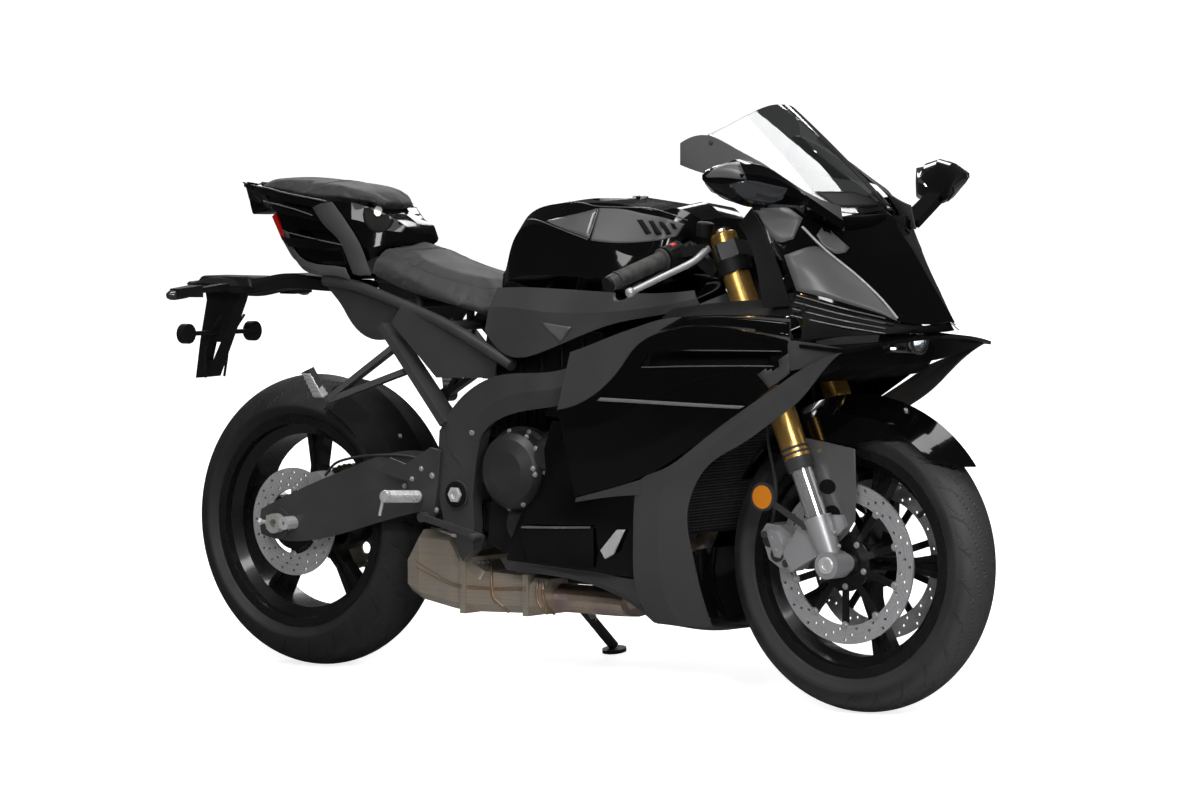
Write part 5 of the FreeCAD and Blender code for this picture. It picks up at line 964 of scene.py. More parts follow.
def noseDuct():
    # The dark intake duct under the nose, closed in front and open to the rear; its darkest black is painted
    # shade.
    cut = 14
    rings = []
    for x, half, low, high in ((1352, 222, 655, 733), (1410, 214, 664, 735), (1450, 196, 676, 736),
                               (1474, 172, 690, 736)):
        inner = half - cut
        corners = ((-half, low + cut), (-inner, low), (inner, low), (half, low + cut),
                   (half, high - cut), (inner, high), (-inner, high), (-half, high - cut))
        rings.append([(x, y, z) for y, z in corners])
    bm = bmesh.new()
    rows = ringFaces(bm, rings, False)
    bm.faces.new(rows[-1])
    thickened(finishMesh(bm, "noseDuct", "paintedShade", "frame"), 3)


noseDuct()


def sideDeflector():
    # The bright wedge that stands in each lower panel's vent, narrower at its outer face.
    outline = [(924, -206, 309), (967, -208, 354), (988, -208, 355), (957, -206, 303), (934, -204, 292)]
    for s, label in mirrored[True]:
        bm = bmesh.new()
        rows = ringFaces(bm, [[(x, y * s, z) for x, y, z in outline], [(x * 0.97 + 955 * 0.03, (y - 5) * s,
            z * 0.94 + 322 * 0.06) for x, y, z in outline]], False)
        for row in rows:
            bm.faces.new(row)
        bevelled(finishMesh(bm, "sideDeflector" + label, "billet", "frame"), 1.0)


sideDeflector()
panelPair("tailBlade", [[(-196, -26, 1042), (-120, -68, 1036), (-60, -91, 1031), (0, -110, 1023),
    (135, -124, 1005)], [(-190, -32, 1034), (-120, -74, 1022), (-60, -96, 1014), (-10, -114, 1005),
    (92, -125, 992)]], "gloss", wall=4, outward=(0, -1, 0.3))
panelPair("tailFold", [[(86, -124, 992), (120, -127, 956), (166, -126, 918), (196, -120, 852)],
    [(112, -127, 1000), (145, -129, 962), (184, -127, 920), (214, -120, 848)],
    [(140, -122, 1004), (176, -122, 966), (214, -118, 915), (236, -106, 850)]], "matte", wall=3)
panelPair("tailCrescent", [[(-46, -70, 942), (-26, -68, 900), (5, -62, 858), (70, -84, 846), (135, -100, 844),
                            (180, -110, 838)],
                           [(-30, -84, 941), (-12, -86, 902), (16, -82, 868), (76, -102, 858),
                            (138, -112, 856), (178, -118, 852)],
                           [(-16, -88, 938), (4, -92, 904), (30, -92, 880), (84, -108, 870), (140, -116, 867),
                            (174, -121, 864)]], "satinAndReflection", wall=3)
# Grey rods along the tail's edges are painted highlights.
makeRods("tailEdgeHighlights", [[(-194, -30, 1043), (-120, -72, 1036), (-60, -95, 1031), (0, -114, 1022),
                        (128, -128, 1005)],
                       [(-70, -103, 1004), (20, -119, 990), (90, -128, 975)],
                       [(-18, -92, 938), (60, -112, 928), (120, -122, 920), (172, -126, 913)]], 1.6, "edge")
print("panels made")


# Dark housings that close the view between the frame's beams

housingSizes = {"airBox": ((700, 0, 692), (320, 226, 104), 0.94),
                "throttleBodies": ((622, 0, 562), (150, 196, 88), 0.9),
                "sumpHousing": ((560, -20, 352), (92, 176, 62), 0.92)}


def makeHousings():
    for name, (centre, size, taper) in housingSizes.items():
        bm = bmesh.new()
        block(bm, centre, size, taper=taper)
        for k in range(5):
            block(bm, Vector(centre) + Vector(((k - 2) * size[0] / 6, 0, -2)), (5, size[1] + 8, size[2] * 0.8))
        bevelled(finishMesh(bm, name, "moulded", "frame"), 5.0, 3)


makeHousings()
print("housings made")


# Draped pieces: thin inlays and trim, painted reflections and highlights, patches of painted shade in recesses,
# and bolts, laid on the solids along the camera's sight lines

surfaces = {}
viewFacts = {"lens": 138.45, "sensor": 36.0, "azimuth": math.radians(37.4585), "pitch": math.radians(3.0861),
             "place": Vector((6549.2, -7551.7, 1111.0)), "across": 1200, "down": 800}
viewRight = Vector((math.cos(viewFacts["azimuth"]), math.sin(viewFacts["azimuth"]), 0))
viewLook = Vector((-math.sin(viewFacts["azimuth"]) * math.cos(viewFacts["pitch"]),
    math.cos(viewFacts["azimuth"]) * math.cos(viewFacts["pitch"]), -math.sin(viewFacts["pitch"])))
viewUp = viewRight.cross(viewLook)


def sight(across, down):
    # The direction in which the camera sees a place of its frame.
    reach = viewFacts["lens"] / viewFacts["sensor"] * viewFacts["across"]
    return (viewLook + viewRight * (across - viewFacts["across"] / 2) / reach
            - viewUp * (down - viewFacts["down"] / 2) / reach)


def seen(nodeNames, across, down):
    # The first point of the named solids on a sight line, with the surface's normal.
    best = None
    for nodeName in nodeNames:
        if nodeName not in surfaces:
            node = frame["nodes"][nodeName]
            move = parkedMm.inverted() @ node.matrix_world
            surfaces[nodeName] = BVHTree.FromPolygons([move @ v.co for v in node.data.vertices],
                                                      [tuple(f.vertices) for f in node.data.polygons])
        hit = surfaces[nodeName].ray_cast(viewFacts["place"], sight(across, down))
        if hit[0] and (best is None or hit[3] < best[3]):
            best = hit
    return best


def drape(name, nodeNames, rails, finishKey, lift=0.6, wall=1.2, both=True, across=6, steps=4):
    # A patch between rails of frame places, laid on the solids and given a wall.
    fine = [smoothPath([(u, v, 0) for u, v in rail], steps) for rail in rails]
    grid = []
    for a, b in zip(fine[:-1], fine[1:]):
        for j in range(1 if grid else 0, across + 1):
            t = j / across
            grid.append([seen(nodeNames, p.x * (1 - t) + q.x * t, p.y * (1 - t) + q.y * t)
                         for p, q in zip(a, b)])
    for s, label in mirrored[both]:
        bm = bmesh.new()
        rows = [[bm.verts.new((h[0].x + h[1].x * lift, (h[0].y + h[1].y * lift) * s, h[0].z + h[1].z * lift))
                 if h else None for h in row] for row in grid]
        for a, b in zip(rows[:-1], rows[1:]):
            for k in range(len(a) - 1):
                corners = (a[k], a[k + 1], b[k + 1], b[k])
                if all(corners) and max((p.co - q.co).length for p in corners for q in corners) < 60:
                    bm.faces.new(corners)
        bmesh.ops.delete(bm, geom=[v for v in bm.verts if not v.link_faces], context="VERTS")
        turnOutward(bm, (0.3, -0.9 * s, 0.2))
        thickened(finishMesh(bm, name + label, finishKey, "frame", 40, True), wall, 1.0)


def drapeDisc(name, nodeNames, centre, size, finishKey, lift, wall, both=True):
    u, v = centre
    rails = []
    for k in range(9):
        a = math.pi * k / 8
        half = max(math.sin(a), 0.08) * size[0]
        down = v - math.cos(a) * size[1]
        rails.append([(u - half, down), (u, down), (u + half, down)])
    drape(name, nodeNames, rails, finishKey, lift, wall, both, 1)


def drapeRods(name, nodeNames, paths, radius, finishKey, both=True, lift=0.0):
    found = []
    for path in paths:
        hits = [seen(nodeNames, p.x, p.y) for p in smoothPath([(u, v, 0) for u, v in path], 5)]
        found.append([h[0] + h[1] * lift for h in hits if h])
    for s, label in mirrored[both]:
        bm = bmesh.new()
        for points in found:
            if len(points) > 2:
                tubeAlong(bm, [(p.x, p.y * s, p.z) for p in points], radius, 8)
        finishMesh(bm, name + label, finishKey, "frame", 60)


allStill = ("main_frame", "subframe", "engine_block", "engine_covers", "footrests", "silencer",
            "tank_side_covers", "swingarm", "rear_shock", "fuel_tank", "side_fairings", "lower_fairings",
            "fairing_bands", "screen_garnish", "upper_cowl", "rear_hugger", "passenger_footrests")


def drapeBolts(name, places, radius, nodes=allStill, direction=(0, -1, 0), dark=False):
    points = [hit[0] for hit in (seen(nodes, u, v) for u, v in places) if hit]
    makeBolts(name, points, direction, radius, "frame", dark)


tank = ["fuel_tank"]
# The satin patch on the tank's facet is a painted reflection of the light in the gloss.
drape("tankFacetReflection", tank, [[(599.7, 208.5), (622.6, 209.5), (644.2, 214), (664.1, 218.1), (684.8, 224.4)],
    [(590.8, 240.7), (611, 243), (632.6, 243), (655.8, 241), (677.3, 236.4)]], "satinAndReflection", across=14, steps=10)
tankSlots = (((637.5, 220.6), (642.2, 227.6), (646.6, 234.7), (643.3, 220.3), (647.8, 227.1), (652.4, 233.9)),
             ((649.1, 221.5), (653.1, 228.3), (657.1, 235.1), (654.1, 221.5), (658.4, 227.9), (662.7, 234.4)),
             ((659.9, 222.4), (663.2, 228.7), (666.5, 235.1), (664.4, 222.8), (667.9, 228.4), (671.5, 234.1)),
             ((669.9, 223.4), (671.5, 226.4), (673.2, 229.4), (674, 223.8), (675.7, 226.8), (677.3, 229.7)))
# The dark slots are painted shade in their hollows.
for slotIndex, slot in enumerate(tankSlots):
    drape("tankSlot%d" % (slotIndex + 1), tank, [slot[:3], slot[3:]], "paintedShade", 3.4, 0.6, across=3)
# The strip on the tank's shoulder is a painted reflection in the trim's grey.
drape("tankShoulderReflection", tank, [[(546.3, 221.1), (562.9, 217.3), (581.1, 213.2), (597.1, 208.9)],
    [(548.3, 222.4), (562.9, 228.9), (576.2, 233.9), (588.1, 238.4)]], "edge", 0.5, 1.0)
# Grey rods along the tank's creases are painted highlights.
drapeRods("tankCreaseHighlights", tank, [[(524.4, 219.8), (534.7, 219.8), (546.3, 223.4), (566.2, 231.4),
    (587.8, 239.7)], [(559.6, 201.6), (582.8, 203.2), (599.4, 206.5), (645.8, 208.2), (670.7, 214),
    (687.3, 220.6)], [(598.1, 209.2), (594.4, 221.5), (588.6, 238.4)]], 1.3, "edge", lift=0.4)
drape("bandGloss", ["fairing_bands"], [[(682.6, 317.1), (718.5, 317.1), (755, 319.1), (789.8, 322.2)],
    [(648.4, 337.3), (693.3, 330.1), (741, 332.3), (789.8, 340.2)]], "gloss")
drape("matteCorner", ["side_fairings"], [[(757.8, 374.4), (774.6, 362.6), (790.4, 351.9)],
    [(769, 388.4), (780.3, 380.8), (789.8, 373.3)]], "matte")
drape("sideStripe", ["side_fairings"], [[(588.9, 396.8), (637.1, 399.6), (693.3, 403), (745.2, 406.1)],
    [(584.4, 400.2), (636, 403), (691, 406.4), (739.6, 408.6)]], "stripe", across=2)
drape("coverFacet", ["tank_side_covers", "fairing_bands"],
    [[(541, 322), (556, 324.5), (572, 327)], [(551, 332), (556, 337), (560, 342.5)]], "satinAndReflection")
nose = ["upper_cowl"]
# The cheek patches are painted reflections: satin grey where the nose's gloss mirrors the light.
drape("cheekReflectionUpper", nose, [[(751.5, 207.9), (785, 199.8), (804.6, 213.9)],
    [(758.2, 215), (776.5, 241.3), (793.5, 239.1)]], "satinAndReflection")
drape("cheekReflectionLower", nose, [[(784.1, 255.6), (811.8, 246.7), (826.3, 252.5), (858.7, 278.6), (900, 322.1)],
    [(796.6, 290.9), (825.2, 297.6), (852, 305.4), (881, 314.3), (898.8, 322.1)]], "satinAndReflection", across=8)
drape("cheekReflectionMiddle", nose, [[(816.2, 235.5), (825.2, 227.7), (849.3, 248)],
    [(821.2, 244), (835.2, 253.6), (845.7, 252.5)]], "satinAndReflection")
# The pale rod along the nose's crest is a painted highlight.
drapeRods("cheekCrestHighlight", nose, [[(802, 226.6), (826.3, 250.7), (856.4, 275.3), (881, 298.7), (901.5, 323.5)]],
    2.6, "pale", lift=0.6)
drape("screenBorder", ["windscreen"], [[(814.5, 191.8), (834.1, 192), (852.4, 192.2), (868.7, 197.1)],
    [(836.3, 207), (849.7, 207.4), (867.6, 206.7), (879.9, 205.6)]], "moulded", 0.6, 1.0)
pods = ["mirrors"]
drape("podLens", pods, [[(729.2, 183.8), (749.3, 180.4), (771.6, 184.9), (787.2, 188.2)],
    [(735.9, 191.6), (749.3, 201.6), (767.1, 203.8), (781.7, 199.4)]], "smoke", 0.6, 1.4)
drapeBolts("podLamps", [(747.1, 192.2), (756, 193.3), (764.9, 193.6), (773.4, 194.2)], 1.5, nodes=pods,
    direction=(0.8, -0.6, 0.1))
drape("podFacet", pods, [[(705.8, 175.9), (720.3, 165.2), (739.2, 161.9)],
    [(707.3, 177.7), (724.7, 177.5), (746.6, 179.7)]], "satinAndReflection", 0.4, 0.8)
can = ["silencer"]
drapeRods("canWelds", can, [[(416.6, 561.6), (433.6, 571.8), (455, 583.4), (490.7, 587.5), (525.5, 587.5)],
    [(416.6, 567.5), (433.6, 576.2), (455, 585.9), (490.7, 589.6), (525.5, 589.8)]], 1.6, "weld", both=False)
drapeRods("canClamp", can + ["exhaust_headers"],
    [[(491.4, 566.4), (492, 582.1), (493.9, 597.3), (503.2, 606.2), (510.7, 612.9)]], 3.4, "weld", both=False,
    lift=1.0)
drapeRods("pipeClamp", can + ["exhaust_headers"],
    [[(538.2, 581.2), (537.1, 592.9), (539.3, 604.5), (550.5, 615.4)],
    [(543.9, 583.9), (542.9, 594.6), (546.1, 605.4), (555.9, 615.7)]], 3.6, "weld", both=False, lift=1.0)
drapeRods("canFlange", can + ["main_frame", "engine_block"],
    [[(418.4, 517.9), (423.8, 525.9), (438.9, 530.4), (456.8, 536.2)]], 3.5, "steel", both=False, lift=1.5)
drapeBolts("frameBolts", [(471.9, 432.4), (503.4, 417.2), (486.8, 379.1), (432.1, 475.6), (435.8, 510)], 4.6)
drapeBolts("hangerBolts", [(421.3, 468.6), (411.9, 478.9), (404.4, 485.7), (413.9, 500.1), (399.8, 436.3),
    (431.6, 426.8)], 4.0)
drapeBolts("coverBolts", [(526.6, 437.1), (532.9, 468.6), (534.9, 474.4), (523.3, 504.2), (487.7, 529.1)], 4.2)
drapeBolts("clampBolts", [(478.2, 562.9), (482.7, 562.9), (487.5, 562.1), (492.1, 560.4)], 3.4,
    nodes=["silencer", "engine_block"], direction=(0, -0.6, 0.8))
drapeBolts("seatRailBolts", [(452.4, 320.3), (474, 330.8)], 3.8)
drapeBolts("garnishBolt", [(710.9, 142.9)], 3.6, nodes=["screen_garnish"], dark=True)
# The dark disc round the lock is painted shade in its recess.
drapeDisc("lockRecess", ["tail_cowl"], (378.7, 214.7), (16, 18), "paintedShade", 0.5, 0.8)
drapeDisc("lockBarrel", ["tail_cowl"], (377.6, 212.5), (4.2, 4.8), "steel", 1.4, 3.0, both=False)
print("draped pieces made")


# Chain: link plates, rollers and pins repeated along the chain line

chainSizes = {"plane": 108, "pitch": 15.875, "links": 110, "rearTeeth": 43, "frontTeeth": 16,
              "frontCentre": (596, 394), "plateOuter": 7.6, "plateInner": 5.6, "plateWall": 1.9,
              "swell": 6.6, "waist": 9.0, "roller": 5.0, "pin": 2.7, "pinReach": 10.4}


def chainPlaces():
    # Each pin's place along the chain, following the line the imported chain takes.
    rearR, frontR = [chainSizes["pitch"] / (2 * math.sin(math.pi / chainSizes[key]))
                     for key in ("rearTeeth", "frontTeeth")]
    a = Vector((rear.x, chainSizes["plane"], rear.z))
    b = Vector((chainSizes["frontCentre"][0], chainSizes["plane"], chainSizes["frontCentre"][1]))
    line = b - a
    base = math.atan2(line.z, line.x)
    lift = math.acos((rearR - frontR) / line.length)
    run = math.sqrt(line.length ** 2 - (rearR - frontR) ** 2)
    rearArc = rearR * (2 * math.pi - 2 * lift)
    frontArc = frontR * 2 * lift

    def on(c, r, angle):
        return c + Vector((r * math.cos(angle), 0, r * math.sin(angle)))

    points = []
    for k in range(chainSizes["links"]):
        s = (2 * run + rearArc + frontArc) * k / chainSizes["links"]
        if s < run:
            points.append(on(a, rearR, base + lift).lerp(on(b, frontR, base + lift), s / run))
        elif s < run + frontArc:
            points.append(on(b, frontR, base + lift - (s - run) / frontR))
        elif s < 2 * run + frontArc:
            points.append(on(b, frontR, base - lift).lerp(on(a, rearR, base - lift),
                (s - run - frontArc) / run))
        else:
            points.append(on(a, rearR, base - lift - (s - 2 * run - frontArc) / rearR))
    return points


def makeLinkTree():
    # One link: two waisted plates with a roller and a pin at its leading end, stood on every point.
    tree, source, result, ids = startTree("chainLinks", {
        "Pitch": chainSizes["pitch"], "Plate Offset": chainSizes["plateInner"],
        "Plate Wall": chainSizes["plateWall"], "Swell": chainSizes["swell"], "Waist": chainSizes["waist"],
        "Roller Radius": chainSizes["roller"], "Pin Radius": chainSizes["pin"],
        "Pin Reach": chainSizes["pinReach"]})
    given = source.outputs
    half = mathNode(tree, "MULTIPLY", given["Pitch"], 0.5)
    backHalf = mathNode(tree, "MULTIPLY", half, -1.0)
    size = addNode(tree, "ShaderNodeCombineXYZ", {}, {"X": given["Pitch"], "Y": given["Waist"],
                                                      "Z": given["Plate Wall"]})
    web = addNode(tree, "GeometryNodeMeshCube", {}, {"Size": size.outputs[0]}).outputs["Mesh"]
    eye = cylinder(tree, 16, given["Swell"], given["Plate Wall"])
    parts = []
    for sign in (1.0, -1.0):
        z = mathNode(tree, "MULTIPLY", given["Plate Offset"], sign)
        parts += [moved(tree, mesh, {"X": x, "Z": z}) for mesh, x in ((web, 0.0), (eye, half), (eye, backHalf))]
    roller = cylinder(tree, 16, given["Roller Radius"], mathNode(tree, "MULTIPLY", given["Plate Offset"], 1.7))
    pin = cylinder(tree, 12, given["Pin Radius"], mathNode(tree, "MULTIPLY", given["Pin Reach"], 2.0))
    parts += [moved(tree, roller, {"X": half}), moved(tree, pin, {"X": half})]
    upright = addNode(tree, "FunctionNodeAlignRotationToVector", {"axis": "Z"}, {"Vector": (0, 1, 0)})
    endTree(tree, source, result, joined(tree, parts), turnedTo(tree, "X", "Z", upright.outputs[0]), "chain")
    return tree, ids


def makeChain():
    linkTree = makeLinkTree()
    pins = chainPlaces()
    for first, name, offset in ((0, "chainInnerLinks", chainSizes["plateInner"]),
                                (1, "chainOuterLinks", chainSizes["plateOuter"])):
        places = []
        ways = []
        for k in range(first, len(pins), 2):
            ahead = pins[(k + 1) % len(pins)]
            places.append((pins[k] + ahead) / 2)
            ways.append(ahead - pins[k])
        made = bakeTree(name, linkTree, {"Plate Offset": offset}, "frame", places, ways)
        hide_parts("drive_chain")


makeChain()


# Wheels: bobbins, disc bolts, sprocket nuts and valves

def around(centre, y, radius, angle):
    return Vector((centre.x + radius * math.sin(math.radians(angle)), y,
                   centre.z + radius * math.cos(math.radians(angle))))


def makeWheelDetails():
    for s, label in bothSides:
        places = [around(front, s * 62.0, 123, 36 * k) for k in range(10)]
        makeBolts("discBobbins" + label, places, (0, s, 0), 5.6, "front_wheel", False, 1.5)
        places = [around(front, s * 62.0, 46, 36 + 72 * k) for k in range(5)]
        makeBolts("discBolts" + label, places, (0, s, 0), 5.0, "front_wheel", False, 1.3)
    places = [around(rear, -88.0, 70, 60 * k) for k in range(6)]
    makeBolts("rearDiscBobbins", places, (0, -1, 0), 5.0, "rear_wheel", False, 1.5)
    places = [around(rear, 110.8, 50, 60 * k + 30) for k in range(6)]
    makeBolts("sprocketNuts", places, (0, 1, 0), 6.0, "rear_wheel", False, 1.5)
    for centre, body, name in ((front, "front_wheel", "frontValve"), (rear, "rear_wheel", "rearValve")):
        root = around(centre, 0, 203, 54)
        bm = bmesh.new()
        turnedShape(bm, root, (root - centre) * -1 + Vector((0, -8, 0)),
                    [(-3, 6), (0, 6.5), (4, 5), (9, 4), (28, 4), (30, 5), (40, 5), (41, 4)], 16)
        finishMesh(bm, name, "grip", body, 40)


makeWheelDetails()


# Fork: dust seals, rings, caps and the axle's ends

def makeForkDetails():
    for s, label in bothSides:
        seals = bmesh.new()
        base = forkPoint(198, s * bikeFacts["forkSpacing"])
        turnedShape(seals, base, steerUp, [(0, 22.3), (1, 26.5), (5, 27.9), (17, 28.2), (19.5, 29.4),
            (24, 29.4), (25.5, 28.0)], 40)
        turnedShape(seals, forkPoint(230, s * bikeFacts["forkSpacing"]), steerUp,
            [(0, 27.8), (1, 28.7), (4, 28.7), (5, 27.8)], 40)
        turnedShape(seals, forkPoint(240, s * bikeFacts["forkSpacing"]), steerUp,
            [(0, 27.8), (1, 28.7), (5, 28.7), (6, 27.8)], 40)
        finishMesh(seals, "forkSeals" + label, "frame", "steering", 35)
        turnedPiece("forkCaps" + label, forkPoint(693, s * bikeFacts["forkSpacing"]), steerUp,
            [(0, 25), (1, 26.5), (5, 26.5), (7, 24.5), (8, 17), (7, 16.6), (7, 10), (11, 9.6), (11.6, 9),
            (11.6, 3)], 36, "gold", "steering")
        nut = bmesh.new()
        turnedShape(nut, forkPoint(695, s * bikeFacts["forkSpacing"]), steerUp,
            [(8, 8.6), (15, 8.6), (15.6, 7.8)], 6)
        bevelled(finishMesh(nut, "forkAdjuster" + label, "billet", "steering", 30), 0.5)
        turnedPiece("frontAxleEnd" + label, front + Vector((0, s * 128.5, 0)), (0, s, 0), [(0, 17), (3.2, 17),
            (4.4, 15.8), (4.4, 8), (1.0, 7.4), (1.0, 0.5)], 6 if s > 0 else 32, "billet", "steering", 30)
        places = [forkPoint(30, s * bikeFacts["forkSpacing"], 27),
            forkPoint(58, s * bikeFacts["forkSpacing"], 27)]
        makeBolts("footPinchBolts" + label, places, steerAhead, 3.6, "steering")
        places = [forkPoint(a, s * 98, b) for a, b in ((42, -112), (112, -138))]
        makeBolts("caliperBolts" + label, places, (0, s, 0), 5.4, "steering", True)
        places = [forkPoint(a, s * 98, b) for a, b in ((74, -124), (100, -124))]
        makeBolts("padPins" + label, places, (0, s, 0), 3.4, "steering")
        pistons = bmesh.new()
        for a, b in ((66, -128), (100, -134)):
            turnedShape(pistons, forkPoint(a, s * 91.5, b), (0, s, 0),
                        [(0, 15), (2.2, 15), (3.4, 13.4), (3.4, 7), (2.2, 6.4), (2.2, 1)], 36)
        finishMesh(pistons, "caliperCaps" + label, "cover", "steering", 35)


makeForkDetails()


def makeFenderBlades():
    # The pale side blades that stand between the fork legs and the discs, each with two sunk holes.
    outline = [(1312, 548), (1382, 539), (1453, 528), (1456, 457), (1454, 388), (1435, 360), (1409, 336),
               (1382, 385), (1356, 439), (1334, 493)]
    for s, label in bothSides:
        bm = bmesh.new()
        plateXz(bm, outline, s * 76, s * 79.4)
        bevelled(finishMesh(bm, "fenderBlade" + label, "satinAndReflection", "steering", 30), 1.2, 2)
        holes = bmesh.new()
        for x, z in ((1389, 451), (1400, 400)):
            turnedShape(holes, (x, s * 79.2, z), (0, s, 0), [(0, 15.0), (0.9, 14.7), (0.7, 12.6), (0.3, 12.4),
                                                             (0.3, 0.5)], 36)
            for vertex in holes.verts:
                if (vertex.co.xz - Vector((x, z))).length < 15.1 and not vertex.tag:
                    vertex.co.x = x + (vertex.co.x - x) * 1.3
                    vertex.tag = True
        # The sunk holes are painted darkest black: painted shade in them.
        finishMesh(holes, "bladeHoles" + label, "paintedShade", "steering", 30)


makeFenderBlades()


# Footrests: silver pegs with feeler rods, and boots

def makeRestDetails():
    for s, label in bothSides:
        root = Vector((412, s * 158, 392))
        tip = Vector((405, s * 268, 398))
        way = (tip - root).normalized()
        peg = bmesh.new()
        profile = [(6, 9.5), (8, 12.6)]
        for k in range(15):
            profile += [(11 + k * 6, 13.0), (13.2 + k * 6, 13.0), (13.8 + k * 6, 12.2), (16.2 + k * 6, 12.2)]
        profile += [(103, 13.2), (108, 13.0), (111, 11.5), (112, 4)]
        turnedShape(peg, root, way, profile, 28)
        feeler = tip - way * 5
        tubeAlong(peg, [feeler, feeler + Vector((-6, s * 2, -10)), feeler + Vector((-12, s * 4, -40))], 3.2, 10)
        finishMesh(peg, "riderPeg" + label, "billet", "frame", 35)
        peg = bmesh.new()
        root = Vector((190, s * 211, 592))
        tip = Vector((166, s * 232, 652))
        way = (tip - root).normalized()
        across = Vector((1, 0, 0))
        third = way.cross(across).normalized()
        block(peg, root.lerp(tip, 0.5) + Vector((0, s * 1.5, 0)), (28, 19, 58), (across, third, way), 0.86)
        bevelled(finishMesh(peg, "pillionPeg" + label, "billet", "frame", 30), 3.0, 3)
        grooves = bmesh.new()
        for k in range(6):
            middle = root.lerp(tip, 0.14 + 0.145 * k) + Vector((0, s * 1.5, 0))
            block(grooves, middle, (25.5 - k * 0.5, 21.5, 3.2), (across, third, way))
        bevelled(finishMesh(grooves, "pillionRibs" + label, "castGrey", "frame", 30), 0.6)
        turnedPiece("pedalRubber" + label, (600, s * 196, 318), (0, s, 0),
            [(0, 8.6), (1, 10), (25, 10), (27, 9), (28.5, 6)], 24, "grip", "frame")


makeRestDetails()


# Reflectors: an amber disc in a dark shell at each side of the fork

def makeReflectors():
    for s, label in bothSides:
        bm = bmesh.new()
        place = Vector((1267, s * 129.6, 428))
        turnedShape(bm, place, (0, s, 0), [(0, 22.8), (1.2, 23.2), (2.4, 22.4), (3.0, 18), (3.2, 4)], 48)
        # The reflector's faint glow is painted light.
        finishMesh(bm, "sideReflector" + label, "amber", "steering", 40)


makeReflectors()


# Handlebars: ribbed grips, levers and the switch housings

def makeBarDetails():
    for s, label in bothSides:
        root = Vector((1096, s * 134, 922))
        tip = Vector((1054, s * 326, 857))
        way = (tip - root).normalized()
        length = (tip - root).length
        grip = bmesh.new()
        profile = [(79, 16), (80, 22.6), (83, 22.8), (85, 19), (87, 17.2)]
        k = 90.0
        while k < length - 6:
            profile += [(k, 17.4), (k + 1.6, 17.4), (k + 2.1, 16.9), (k + 3.4, 16.9)]
            k += 3.9
        profile += [(length - 2, 18.6), (length + 1, 18.6), (length + 2, 15)]
        turnedShape(grip, root, way, profile, 32)
        finishMesh(grip, "grip" + label, "grip", "steering", 35)
        turnedPiece("barEnd" + label, tip + way * 1.5, way,
            [(0, 15), (1, 16.4), (16, 16.4), (18.5, 14.5), (19, 8), (17, 7), (17, 2)], 32, "frame",
            "steering")
        pivot = root + way * 30 + Vector((66, 0, 6))
        knee = pivot + way * 52 + Vector((4, 0, -12))
        end = pivot + way * 186 + Vector((-24, 0, -26))
        lever = bmesh.new()
        path = smoothPath([pivot, pivot.lerp(knee, 0.5) + Vector((3, 0, 0)), knee, knee.lerp(end, 0.5), end], 6)
        tubeAlong(lever, path, [7.4 - 1.2 * k / (len(path) - 1) for k in range(len(path))], 14)
        turnedShape(lever, end - way * 9, way,
            [(0, 4), (2, 7.4), (6, 9.6), (10, 10), (14, 9), (17, 6), (18.4, 2)], 20)
        finishMesh(lever, "lever" + label, "castGrey", "steering", 40)
        lift = frameAlong(way)[1]
        if lift.z < 0:
            lift = -lift
        ahead = way.cross(lift).normalized()
        if ahead.x < 0:
            ahead = -ahead
        blockPiece("switchHousing" + label, [(root + way * 54 + ahead * 2, (37, 38, 40), (lift, ahead,
            way))], "moulded", "steering", 6.0, 4)
        blockPiece("switchButtons" + label, [(root + way * 54 - ahead * 17 + lift * 7, (9, 8, 14), (lift,
            ahead, way)), (root + way * 44 - ahead * 17 - lift * 7, (7, 8, 9), (lift, ahead,
            way))], "grip", "steering", 1.2)
        if s < 0:
            blockPiece("killSwitch", [(root + way * 52 + ahead * 6 + lift * 19, (8, 15, 12), (lift, ahead,
                way))], "redSwitch", "steering", 2.0, 3)
            turnedPiece("brakeReservoir", pivot + Vector((-4, -6, 22)), (0.12, 0, 1),
                [(0, 13), (2, 15.5), (24, 17.5), (27, 17.5), (29, 16.5), (31, 12), (31.5, 3)], 28, "moulded",
                "steering")


makeBarDetails()


# Lamps, mirrors, dash and the dark apron under the screen

